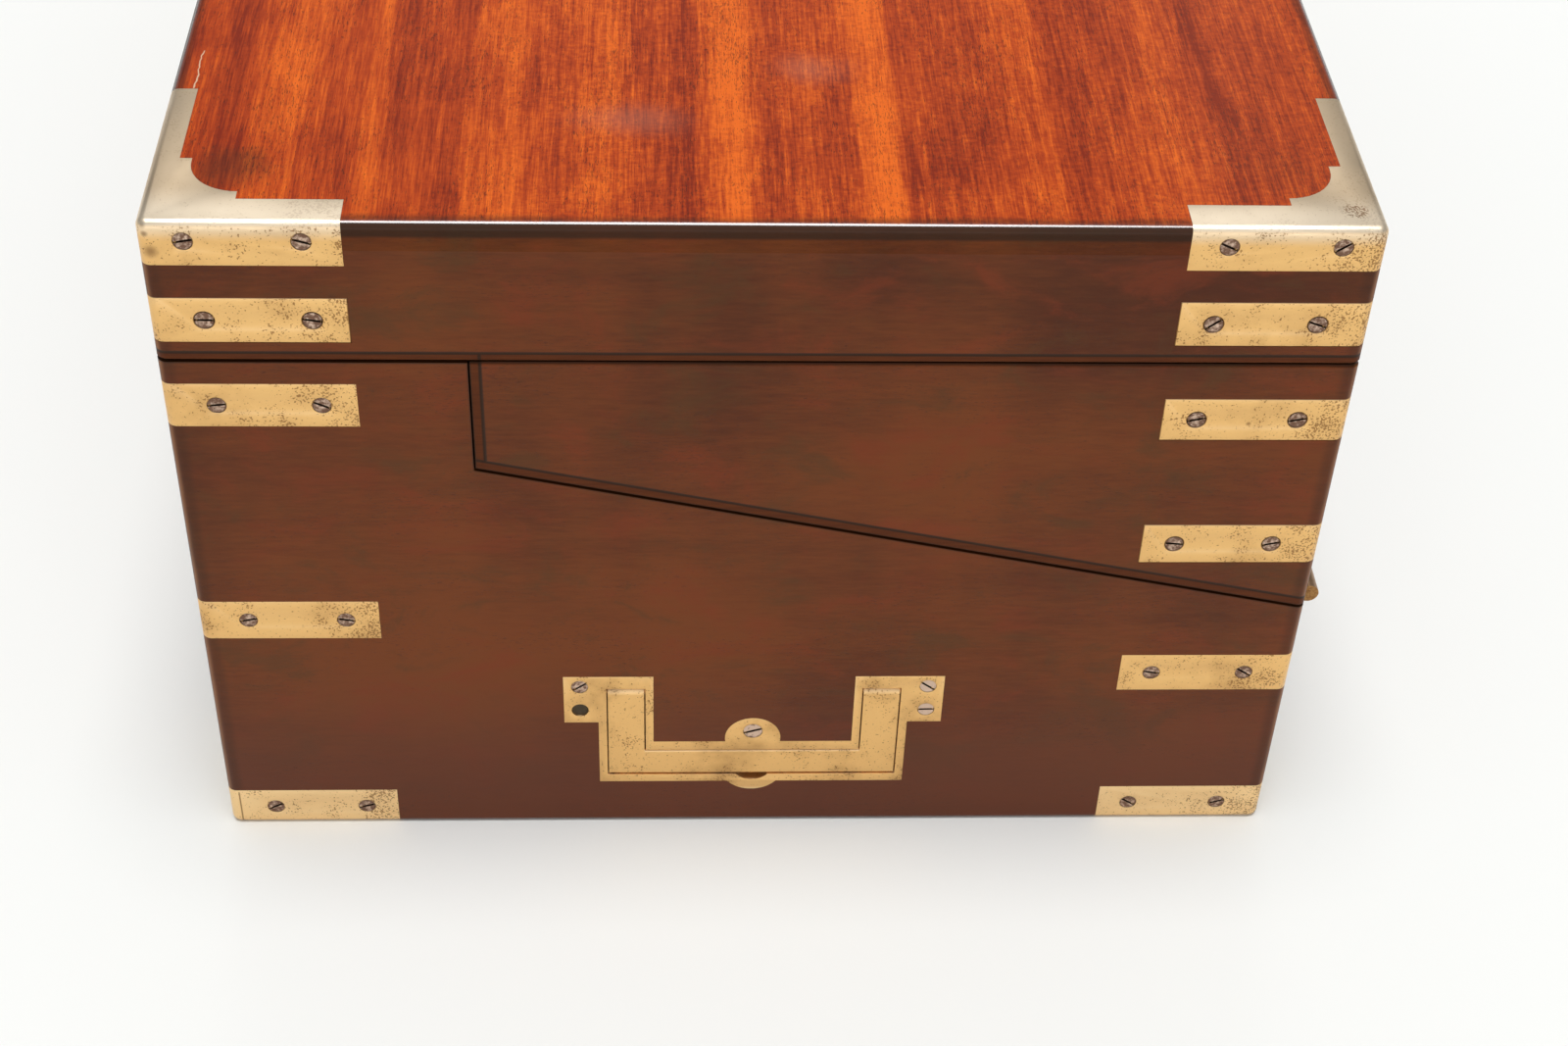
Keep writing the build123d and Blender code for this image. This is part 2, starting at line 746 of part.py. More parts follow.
def inkwell_cap(side):
    """A round brass cap with a bevelled rim and one hinge eye."""
    with BuildPart() as cap:
        with BuildSketch(inkwell_plane(side, neck_top + collar_gap)):
            Circle(cap_radius)
        extrude(amount=cap_thickness)
        chamfer(cap.faces().sort_by(Axis.Z)[-1].edges(), cap_bevel)
        with BuildSketch(across_inkwell(side, -cap_eye_length / 2, cap_axis_y)):
            Circle(cap_eye_radius)
            rectangle_between(
                (cap_radius - cap_axis_y - cap_tongue, -cap_eye_radius),
                (0, cap_eye_radius),
            )
            Circle(cap_pin_radius + pin_fit, mode=Mode.SUBTRACT)
        extrude(amount=cap_eye_length)
    return cap


inkwell_bottles = gathered([inkwell_bottle(side) for side in (-1, 1)])
inkwell_collars = gathered([inkwell_collar(side) for side in (-1, 1)])
left_inkwell_cap, right_inkwell_cap = inkwell_cap(-1), inkwell_cap(1)

# ---------------------------------------------------------------- slope section
with BuildPart() as lipping_bands:
    slab(
        sloping_band(-half_depth - wall, section_back_y, slope_gap / 2, slope_gap / 2 + lipping),
        -half_length,
        half_length,
    )
    block(
        (-half_length, half_length), (section_back_y - lipping, section_back_y), (front_seam_height, case_top)
    )
    step_lipping_z = (step_height + lipping, case_top)
    block(between_ends, (section_back_y - lipping, section_back_y), step_lipping_z, Mode.SUBTRACT)

section_cutters = (
    [slope_straps.part, slope_hinge_upper_leaves.part, lock_pocket.part, lock_escutcheon.part]
    + slope_barrel_recesses
    + [keyhole(-half_depth, lock_front_y)]
)
section_wood_cutters = section_cutters + [lipping_bands.part]
slope_left_end = cut_from(section_envelope, left_x, whole_y, whole_z, section_wood_cutters)
slope_right_end = cut_from(section_envelope, right_x, whole_y, whole_z, section_wood_cutters)
slope_front = cut_from(section_envelope, between_ends, front_y, whole_z, section_wood_cutters)
slope_back = cut_from(
    section_envelope, between_ends, (section_inner_y, section_back_y), whole_z, section_wood_cutters
)
with BuildPart() as slope_top:
    block(between_ends, (-inner_y, section_inner_y), (case_top - panel_thickness, case_top))


def lipping_strip(xs, ys):
    """One strip of the slope section's lipping."""
    with BuildPart() as strip:
        add(lipping_bands.part)
        add(section_envelope.part, mode=Mode.INTERSECT)
        block(xs, ys, whole_z, Mode.INTERSECT)
        add(section_cutters, mode=Mode.SUBTRACT)
    return strip.part


slope_lipping = gathered(
    [
        lipping_strip(xs, (-half_depth, section_back_y))
        for xs in (left_x, right_x)
    ]
    + [
        lipping_strip((-inner_x + lipping_joint, inner_x - lipping_joint), ys)
        for ys in (front_y, (section_inner_y, section_back_y))
    ]
)


# ---------------------------------------------------------------- writing boards
def writing_board(towards, y_front, y_back):
    """A board that follows the slope, its face at the slope seam, with a leather let into it.
    towards is -1 for the board in the base and 1 for the one in the slope section."""
    face = towards * slope_gap / 2
    back = face + towards * panel_thickness
    half_width = inner_x - board_clearance
    with BuildPart() as leather:
        slab(
            sloping_band(
                y_front + leather_margin, y_back - leather_margin, face, face + towards * leather_thickness
            ),
            -half_width + leather_margin,
            half_width - leather_margin,
        )
    with BuildPart() as board:
        slab(sloping_band(y_front, y_back, face, back), -half_width, half_width)
        add(leather.part, mode=Mode.SUBTRACT)
    return board, leather


def board_rests(towards, y_front, y_back):
    """Two strips along the ends that a writing board lies against."""
    near = towards * (slope_gap / 2 + panel_thickness)
    far = near + towards * rest_height
    strips = []
    for x_low in (-inner_x, inner_x - rest_width):
        with BuildPart() as strip:
            slab(sloping_band(y_front, y_back, near, far), x_low, x_low + rest_width)
        strips.append(strip.part)
    return strips


board_front_y = -inner_y + board_clearance
upper_writing_board, upper_leather = writing_board(-1, board_front_y, block_front_y - board_clearance)
lower_writing_board, lower_leather = writing_board(1, board_front_y, section_inner_y - board_clearance)
board_rest_strips = gathered(
    board_rests(-1, -inner_y, block_front_y) + board_rests(1, -inner_y, section_inner_y)
)

# ---------------------------------------------------------------- lid
lid_seam_cutters = (
    [lid_straps.part, lid_hinge_upper_leaves.part, lock_link_plate.part] + lid_barrel_recesses
)
lid_cutters = lid_seam_cutters + [corner_brasses_front.part, corner_brasses_back.part]
lid_wall_z = (lid_bottom + lipping, lid_ceiling)
lid_left_end = cut_from(lid_envelope, left_x, whole_y, lid_wall_z, lid_cutters)
lid_right_end = cut_from(lid_envelope, right_x, whole_y, lid_wall_z, lid_cutters)
lid_front = cut_from(lid_envelope, between_ends, front_y, lid_wall_z, lid_cutters)
lid_back = cut_from(lid_envelope, between_ends, back_y, lid_wall_z, lid_cutters)
lid_top = cut_from(
    lid_envelope, (-half_length, half_length), whole_y, (lid_ceiling, case_height), lid_cutters
)
lipping_z = (lid_bottom, lid_bottom + lipping)
lid_lipping = gathered(
    [
        cut_from(lid_envelope, xs, ys, lipping_z, lid_seam_cutters).part
        for xs, ys in (
            (left_x, whole_y),
            (right_x, whole_y),
            ((-inner_x + lipping_joint, inner_x - lipping_joint), front_y),
            ((-inner_x + lipping_joint, inner_x - lipping_joint), back_y),
        )
    ]
)
with BuildPart() as lid_lining:
    block(between_ends, (-inner_y, inner_y), (lid_ceiling - lining_thickness, lid_ceiling))

# ---------------------------------------------------------------- hand over
pieces = {
    "base_bottom": base_bottom,
    "base_left_end": base_left_end,
    "base_right_end": base_right_end,
    "base_front": base_front,
    "base_back": base_back,
    "step_board": step_board,
    "compartment_floor": compartment_floor,
    "compartment_dividers": compartment_dividers,
    "tray_ledges": tray_ledges,
    "pen_tray": pen_tray,
    "inkwell_bottles": inkwell_bottles,
    "inkwell_collars": inkwell_collars,
    "left_inkwell_cap": left_inkwell_cap,
    "right_inkwell_cap": right_inkwell_cap,
    "slope_left_end": slope_left_end,
    "slope_right_end": slope_right_end,
    "slope_front": slope_front,
    "slope_back": slope_back,
    "slope_top": slope_top,
    "slope_lipping": slope_lipping,
    "upper_writing_board": upper_writing_board,
    "upper_leather": upper_leather,
    "lower_writing_board": lower_writing_board,
    "lower_leather": lower_leather,
    "board_rest_strips": board_rest_strips,
    "lid_top": lid_top,
    "lid_left_end": lid_left_end,
    "lid_right_end": lid_right_end,
    "lid_front": lid_front,
    "lid_back": lid_back,
    "lid_lipping": lid_lipping,
    "lid_lining": lid_lining,
    "corner_brasses_front": corner_brasses_front,
    "corner_brasses_back": corner_brasses_back,
    "lid_straps": lid_straps,
    "slope_straps": slope_straps,
    "base_straps": base_straps,
    "lid_hinge_lower_leaves": lid_hinge_lower_leaves,
    "lid_hinge_upper_leaves": lid_hinge_upper_leaves,
    "slope_hinge_lower_leaves": slope_hinge_lower_leaves,
    "slope_hinge_upper_leaves": slope_hinge_upper_leaves,
    "lock_case": lock_case,
    "lock_bolt": lock_bolt,
    "lock_link_plate": lock_link_plate,
    "lock_escutcheon": lock_escutcheon,
    "left_handle_plate": left_handle_plate,
    "right_handle_plate": right_handle_plate,
    "left_bail": left_bail,
    "right_bail": right_bail,
}
os.makedirs("parts", exist_ok=True)
for name, piece in pieces.items():
    piece.part.label = name
    export_step(piece.part, f"parts/{name}.step")
print(len(pieces), "pieces")
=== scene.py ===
"""A brass-bound mahogany campaign writing slope, dressed around its fixed frame."""

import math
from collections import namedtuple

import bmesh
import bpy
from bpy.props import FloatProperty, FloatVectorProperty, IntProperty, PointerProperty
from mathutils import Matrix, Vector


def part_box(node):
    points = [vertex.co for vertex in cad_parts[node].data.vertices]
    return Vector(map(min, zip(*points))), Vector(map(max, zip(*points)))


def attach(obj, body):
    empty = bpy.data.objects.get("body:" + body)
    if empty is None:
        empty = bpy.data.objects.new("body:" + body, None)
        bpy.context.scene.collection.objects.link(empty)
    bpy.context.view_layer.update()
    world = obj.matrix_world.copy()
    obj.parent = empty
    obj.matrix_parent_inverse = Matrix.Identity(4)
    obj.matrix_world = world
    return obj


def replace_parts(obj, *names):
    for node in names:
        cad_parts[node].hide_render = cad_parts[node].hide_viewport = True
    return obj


bl_info = {
    "name": "Campaign writing slope",
    "version": (1, 0, 0),
    "blender": (4, 5, 0),
    "location": "3D View > Sidebar > Writing slope",
    "description": "Finishes and fittings of a brass-bound writing slope",
    "category": "Object",
}

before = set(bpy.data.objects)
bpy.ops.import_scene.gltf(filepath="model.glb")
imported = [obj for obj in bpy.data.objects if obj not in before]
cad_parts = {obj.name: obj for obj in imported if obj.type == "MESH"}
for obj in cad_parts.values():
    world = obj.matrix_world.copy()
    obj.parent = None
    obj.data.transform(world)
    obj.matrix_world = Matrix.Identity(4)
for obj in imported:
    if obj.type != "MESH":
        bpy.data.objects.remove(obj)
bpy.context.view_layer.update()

MM = 0.001

# ---- places read from the frame
END_X, FACE_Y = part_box("base_straps")[1].xy
TOP_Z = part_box("lid_top")[1].z
CASE_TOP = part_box("slope_lipping")[1].z
LID_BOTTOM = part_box("lid_lipping")[0].z

# ---- where each softbox stands, and what it is aimed at
NEAR_SOFTBOX = ((-1.7, 0.0, 0.5), (-0.2, 0.0, 0.15))
FAR_SOFTBOX = ((1.65, 0.0, 1.45), (0.0, 0.0, 0.15))

# ---- brasses and their screws
STRAP_LEG = 43.0 * MM
STRAP_WIDTH = 12.0 * MM
STRAP_SCREWS = (11.8 * MM, 35.0 * MM)
CORNER_SCREWS = (9.7 * MM, 34.5 * MM)
CORNER_SCREW_DROP = 4.8 * MM
EAR_SCREW_Y = 43.2 * MM
EAR_SCREW_HEIGHTS = (40.6 * MM, 48.7 * MM)
LOBE_SCREW_HEIGHT = 33.0 * MM
MISSING_SCREW = Vector((-END_X, EAR_SCREW_Y, EAR_SCREW_HEIGHTS[0]))
# thickness of the dark disc painted as shade in the empty screw hole
SHADE_DISC_THICKNESS = 0.3 * MM
LEAF_MIDDLE_X = 162.0 * MM
LEAF_SCREW_SPACING = 24.0 * MM
LEAF_SCREW_FROM_FACE = 5.6 * MM
LOCK_SCREW_X = 32.3 * MM
LOCK_MIDDLE_Y = -127.8 * MM
SEAM_SCREW_SHINE = 0.25
HOLE_SEGMENTS = 28
MERGE_GAP = 0.002 * MM
GRIMY_EDGE = ("grimy_brass_edge", 0.78)
RUBBED_EDGE = ("rubbed_brass_edge", 0.0, 0.14)

# ---- seams
LID_SEAM_Z = 149.4 * MM
STEP_Y, STEP_Z = 65.5 * MM, 118.7 * MM
FRONT_Y, FRONT_SEAM_Z = -133.5 * MM, 75.3 * MM
SLOPE_RISE = (STEP_Z - FRONT_SEAM_Z) / (STEP_Y - FRONT_Y)
SLOPE_LIPPING = 2.7 * MM
STEP_LIPPING_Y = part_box("slope_lipping")[1].y - 2.3 * MM
LID_LIPPING_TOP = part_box("lid_lipping")[1].z
JOINT_LINE = 0.62 * MM

# ---- grain and marks
PORE_WIDTH = 0.22 * MM
PORE_STRETCH = 0.16
STRIPE_BEND = 14.0 * MM
SMUDGE_WANDER = 13.0 * MM
CORNER_HOLLOW = (23.0 * MM, 20.2 * MM)
CRACK_Y = 130.6 * MM
CRACK_TOP = 11.0 * MM
STAINS = (
    (Vector((-254.0, 130.8, 178.6)) * MM, 2.6 * MM),
    (Vector((-254.0, 131.6, 183.0)) * MM, 1.2 * MM),
    (Vector((-254.0, -110.6, 132.6)) * MM, 0.9 * MM),
    (Vector((254.0, -129.0, 177.0)) * MM, 2.2 * MM),
)
PITTED_SPOT = Vector((-247.0, -127.0, 186.0)) * MM
# places and sizes of painted reflections: foggy patches on the polished top
REFLECTION_PATCHES = (
    ((-0.212, 0.031, TOP_Z), (0.009, 0.017, 0.01)),
    ((-0.19, -0.011, TOP_Z), (0.009, 0.012, 0.01)),
)
SPLIT_Y = 129.2 * MM
SPLIT_X = (-201.5 * MM, -184.0 * MM)

Hole = namedtuple("Hole", "place outward radius shine", defaults=(0.0,))


# ---- settings
def colour(name, text, value):
    """A colour that a user can change."""
    return FloatVectorProperty(
        name=name, description=text, subtype="COLOR", size=3, min=0.0, max=1.0, default=value
    )


def length(name, text, value):
    """A length that a user can change, in metres."""
    return FloatProperty(
        name=name, description=text, unit="LENGTH", default=value, min=0.0, precision=5
    )


def angle(name, text, degrees):
    """An angle that a user can change, given in degrees."""
    value = math.radians(degrees)
    return FloatProperty(name=name, description=text, subtype="ANGLE", default=value)


def amount(name, text, value, high=10.0):
    """A plain number that a user can change."""
    return FloatProperty(name=name, description=text, default=value, min=0.0, max=high)


class StageSettings(bpy.types.PropertyGroup):
    """The floor, the lights and the camera."""

    floor_colour: colour("Floor", "Colour of the floor", (0.832, 0.842, 0.822))
    floor_size: length("Floor size", "Width of the floor", 40.0)
    sky_colour: colour("Surroundings", "Colour of the room", (0.97, 0.98, 1.0))
    sky_low: amount("Surroundings, low", "Room brightness at eye level", 0.24)
    sky_high: amount("Surroundings, high", "Room brightness overhead", 0.4)
    horizon: amount("Horizon", "Extra brightness just above the floor", 0.66)
    key_strength: amount("Overhead light", "Strength of the overhead light", 2.35, 500.0)
    key_spread: angle("Overhead spread", "Its apparent width", 29.0)
    key_lean: angle("Overhead lean", "Its lean to the near end", 2.5)
    near_power: amount("Near light", "Power of the low near softbox in watts", 9.0, 500.0)
    near_size: length("Near light size", "Width of the low near softbox", 1.8)
    fill_power: amount("Far light", "Power of the far softbox in watts", 6.0, 500.0)
    fill_size: length("Far light size", "Width of the far softbox", 1.3)
    camera_place: FloatVectorProperty(
        name="Camera", description="Where the camera stands", subtype="TRANSLATION", size=3,
        default=(-0.6942, 0.0228, 0.4871),
    )
    camera_turn: angle("Turn", "Turn about the upright", -3.692)
    camera_tilt: angle("Tilt", "Tilt below the horizon", 41.082)
    camera_roll: angle("Roll", "Roll about the line of sight", -2.449)
    camera_lens: amount("Lens", "Focal length in millimetres", 57.489, 500.0)


class WoodSettings(bpy.types.PropertyGroup):
    """The mahogany."""

    side_dark: colour("Side, dark", "Darker colour of the sides", (0.068, 0.0142, 0.002))
    side_light: colour("Side, light", "Lighter colour of the sides", (0.163, 0.0395, 0.0056))
    side_red: colour("Side red", "Reddish patches of the sides", (0.185, 0.029, 0.005))
    side_olive: colour("Side olive", "Greenish patches of the sides", (0.08, 0.033, 0.007))
    side_low: colour("Side, low", "Redder sides near the foot", (0.11, 0.031, 0.014))
    # stain beside the arrises that also carries painted shade there and in the seams' gaps, besides
    # dark joints and dirt
    edge_stain_and_shade: colour("Edge stain", "Stain beside the arrises", (0.026, 0.011, 0.004))
    # painted highlight on the upright arrises, partly polish rubbed off
    edge_wear_and_highlight: colour("Edge wear", "Polish rubbed off the arrises", (0.33, 0.125, 0.036))
    top_dark: colour("Top, dark", "Darker colour of the top", (0.2, 0.016, 0.0016))
    top_middle: colour("Top, middle", "Main colour of the top", (0.412, 0.049, 0.0038))
    top_bright: colour("Top, bright", "Bright stripes of the top", (0.72, 0.13, 0.0085))
    pore_colour: colour("Pores", "Colour of the open pores", (0.045, 0.012, 0.004))
    # colour of the painted reflections on the top's polish
    reflection_haze: colour("Bloom", "Foggy patches in the top's polish", (0.43, 0.19, 0.13))
    split_colour: colour("Split", "Bare wood in the top's split", (0.62, 0.42, 0.27))
    inner_dark: colour("Inside, dark", "Darker colour of the inside", (0.13, 0.042, 0.016))
    inner_light: colour("Inside, light", "Lighter colour of the inside", (0.27, 0.095, 0.037))


class BrassSettings(bpy.types.PropertyGroup):
    """The brass fittings."""

    gold: colour("Brass", "Clean brass", (0.8, 0.49, 0.19))
    # grey of the upper faces, partly rubbed wear and partly painted reflection
    worn_and_sheen: colour("Worn brass", "Rubbed brass of the upper faces", (0.605, 0.485, 0.34))
    tarnish: colour("Tarnish", "Brown film on the brass", (0.38, 0.21, 0.075))
    stain: colour("Stain", "Brown stains", (0.14, 0.055, 0.025))
    # lighter brass near the ends, partly wear and partly painted highlight
    bright: colour("Bright brass", "Brass rubbed bright near the ends", (0.9, 0.8, 0.64))
    # painted reflection of the floor on the lowest straps
    floor_reflection: colour("Pale brass", "Paler brass of the lowest straps", (0.93, 0.7, 0.4))
    pit: colour("Pits", "Dirt in the pits", (0.25, 0.115, 0.038))
    edge_width: length("Edge", "Width of the eased edges", 0.00022)


class ScrewSettings(bpy.types.PropertyGroup):
    """The countersunk screws."""

    head_radius: length("Head", "Radius of a strap screw's head", 0.00208)
    handle_head_radius: length("Handle head", "Radius of a handle screw's head", 0.002)
    lobe_head_radius: length("Lobe head", "Radius of a handle lobe's screw head", 0.00235)
    leaf_head_radius: length("Hinge head", "Radius of a hinge screw's head", 0.0017)
    lock_head_radius: length("Lock head", "Radius of a lock screw's head", 0.0014)
    head_depth: length("Head depth", "Depth of the head's cone", 0.0008)
    slot_width: length("Slot width", "Width of the slot", 0.00056)
    slot_depth: length("Slot depth", "Depth of the slot", 0.0011)
    hole_gap: length("Hole gap", "Dark gap round a head", 0.00012)
    sink: length("Sink", "Depth of a head below the brass", 0.00006)
    spread: angle("Slot spread", "Turn of the slots either way", 38.0)
    seed: IntProperty(name="Seed", description="Order of the slots' turns", default=7, min=0)
    metal: colour("Metal", "Rubbed middle of a head", (0.64, 0.465, 0.35))
    rust: colour("Rust", "Brown film on a head", (0.17, 0.088, 0.055))
    # painted shade in a slot and round a head, partly dirt
    slot_shade_and_grime: colour("Grime", "Dirt in a slot and round a head", (0.052, 0.028, 0.018))


class SlopeSettings(bpy.types.PropertyGroup):
    """Everything that a user can change."""

    stage: PointerProperty(type=StageSettings, name="Stage", description="Floor, lights and camera")
    wood: PointerProperty(type=WoodSettings, name="Wood", description="Mahogany")
    brass: PointerProperty(type=BrassSettings, name="Brass", description="Brass fittings")
    screws: PointerProperty(type=ScrewSettings, name="Screws", description="Countersunk screws")


def settings():
    return bpy.context.scene.writing_slope


# ---- node trees
def feed(tree, socket, value):
    """Links a node's value into an input, or sets the input to a plain value."""
    if isinstance(value, Value):
        tree.links.new(value.socket, socket)
    else:
        socket.default_value = opaque(value) if socket.type == "RGBA" else value


def add_node(tree, kind, sockets=None, **values):
    """Adds a node, sets its options and feeds its inputs, given by name or number."""
    node = tree.nodes.new(kind)
    for option, value in values.items():
        setattr(node, option, value)
    for socket, value in (sockets or {}).items():
        feed(tree, node.inputs[socket], value)
    return node


def value_of(tree, kind, sockets=None, output=0, **values):
    """The value that a new node gives."""
    return Value(tree, add_node(tree, kind, sockets, **values).outputs[output])


def opaque(rgb):
    """A colour with full alpha."""
    return (*rgb, 1.0)


def joining(operation):
    """A method that joins a node's value to others by arithmetic."""

    def joined(self, *others):
        sockets = dict(enumerate((self, *others)))
        return value_of(self.tree, "ShaderNodeMath", sockets, operation=operation)

    return joined


class Value:
    """What a node gives: takes + - *, | for the larger of two and & for the smaller."""

    __add__ = __radd__ = joining("ADD")
    __sub__ = joining("SUBTRACT")
    __mul__ = joining("MULTIPLY")
    __or__ = joining("MAXIMUM")
    __and__ = joining("MINIMUM")
    __lt__ = joining("LESS_THAN")
    __abs__ = joining("ABSOLUTE")

    def __init__(self, tree, socket):
        self.tree = tree
        self.socket = socket

    def __rsub__(self, other):
        return self * -1.0 + other


class Finish:
    """A material under construction, with short calls for its nodes."""

    def __init__(self, name):
        self.material = bpy.data.materials.new(name)
        self.material.use_nodes = True
        self.tree = self.material.node_tree
        self.tree.nodes.clear()
        self.shader = add_node(self.tree, "ShaderNodeBsdfPrincipled")
        output = add_node(self.tree, "ShaderNodeOutputMaterial")
        self.tree.links.new(self.shader.outputs[0], output.inputs["Surface"])
        self.place = self.add("TexCoord", output="Object")

    def add(self, kind, sockets=None, **values):
        """Adds a shader node and gives what it gives."""
        return value_of(self.tree, f"ShaderNode{kind}", sockets, **values)

    def vector(self, operation, *terms, output=0):
        """Vector arithmetic."""
        sockets = dict(enumerate(terms))
        return self.add("VectorMath", sockets, output=output, operation=operation)

    def noise(self, scale, detail=2.0, roughness=0.5, distortion=0.0, stretch=None):
        """Noise over the piece, drawn out along the axes whose stretch is below 1."""
        place = self.place
        if stretch:
            place = self.add("Mapping", {"Vector": place, "Scale": stretch})
        return self.add("TexNoise", {
            "Vector": place, "Scale": scale, "Detail": detail, "Roughness": roughness,
            "Distortion": distortion,
        })

    def cells(self, scale):
        """Distance from the middles of small random cells."""
        sockets = {"Vector": self.place, "Scale": scale}
        return self.add("TexVoronoi", sockets, output="Distance")

    def ramp(self, value, *stops, interpolation="LINEAR"):
        """Maps a value through grey or colour stops, given as (position, grey or colour)."""
        mapped = self.add("ValToRGB", {0: value})
        ramp = mapped.socket.node.color_ramp
        ramp.interpolation = interpolation
        while len(ramp.elements) < len(stops):
            ramp.elements.new(1.0)
        for element, (position, shade) in zip(ramp.elements, stops):
            element.position = position
            element.color = opaque(shade if hasattr(shade, "__len__") else (shade, shade, shade))
        return mapped

    def share(self, value, low, high):
        """How far a value lies between two limits, from 0 to 1."""
        return self.add("MapRange", {0: value, 1: low, 2: high})

    def step(self, value, low, high, start=0.0, end=1.0):
        """A smooth step from start to end as a value goes from low to high."""
        sockets = {0: value, 1: low, 2: high, 3: start, 4: end}
        return self.add("MapRange", sockets, interpolation_type="SMOOTHSTEP")

    def fade(self, value, low, high, start=1.0):
        """A smooth step down to 0."""
        return self.step(value, low, high, start, 0.0)

    def mix(self, share, first, second):
        """Mixes two colours."""
        sockets = {0: share, 6: first, 7: second}
        return self.add("Mix", sockets, output=2, data_type="RGBA")

    def axes(self, vector=None):
        """The X, Y and Z of a vector, or of the place on the piece."""
        parts = add_node(self.tree, "ShaderNodeSeparateXYZ", {0: vector or self.place}).outputs
        return [Value(self.tree, part) for part in parts]

    def upward(self):
        """How far the face points up, from -1 to 1."""
        return self.axes(self.add("TexCoord", output="Normal"))[2]

    def long(self, vector):
        """The length of a vector."""
        return self.vector("LENGTH", vector, output="Value")

    def away(self, place):
        """The distance from a place."""
        return self.vector("DISTANCE", self.place, place, output="Value")

    def attribute(self, name):
        """A number stored on the mesh."""
        return self.add("Attribute", output="Fac", attribute_name=name)

    def bump(self, height, distance):
        return self.add("Bump", {"Height": height, "Distance": distance, "Strength": 1.0})

    def set(self, **sockets):
        """Sets or links the shader's own sockets, and gives the finished material."""
        for name, value in sockets.items():
            feed(self.tree, self.shader.inputs[name.replace("_", " ")], value)
        return self.material


# ---- finishes
def along_grain(axis, along, across=1.0):
    """Scales for a pattern whose grain runs along one axis."""
    return tuple(along if name == axis else across for name in "xyz")


def pores(finish, axis, size, stretch, density, bare=0.74):
    """Short dark dashes along the grain, as a mask."""
    fine = finish.noise(1.0 / size, 1.0, stretch=along_grain(axis, stretch))
    patches = finish.noise(70.0, 2.0, stretch=along_grain(axis, 0.35))
    return finish.step(fine - finish.step(patches, 0.3, 0.72, bare, bare - density), 0.0, 0.05)


def layered(base, *layers):
    """A base value with noises about it, each given as (noise, weight)."""
    for noise, weight in layers:
        base = base + (noise * weight - 0.5 * weight)
    return base


def line(finish, distance, width):
    """A thin line where a distance is zero."""
    return finish.fade(abs(distance), width / 4, width)


def above_slope(finish, offset):
    """Height above a line alongside the sloping seam, offset square to it."""
    _, y, z = finish.axes()
    start = FRONT_SEAM_Z - FRONT_Y * SLOPE_RISE + offset * math.hypot(1.0, SLOPE_RISE)
    return z - (y * SLOPE_RISE + start)


def seam_shade(finish):
    """Painted shade in the gaps along the lid's seam, the step and the sloping seam."""
    _, y, z = finish.axes()
    above = above_slope(finish, 0.0)
    slope = line(finish, above, 0.95 * MM) * finish.fade(y, STEP_Y, STEP_Y + 0.6 * MM)
    step = line(finish, y - STEP_Y, 0.65 * MM) * finish.step(above, 0.0, MM)
    below_seam = finish.fade(z, LID_SEAM_Z, LID_SEAM_Z + 0.3 * MM)
    return line(finish, z - LID_SEAM_Z, 0.75 * MM) | (slope | step) * below_seam


def lid_joint(finish):
    """The hairline where the lid's lipping meets its boards."""
    return line(finish, finish.axes()[2] - LID_LIPPING_TOP, JOINT_LINE)


def slope_joints(finish):
    """The hairlines where the slope section's lipping meets its ends."""
    above = above_slope(finish, SLOPE_LIPPING)
    upright = line(finish, finish.axes()[1] - STEP_LIPPING_Y, JOINT_LINE)
    return line(finish, above, JOINT_LINE) | upright * finish.step(above, -0.1 * MM, 0.1 * MM)


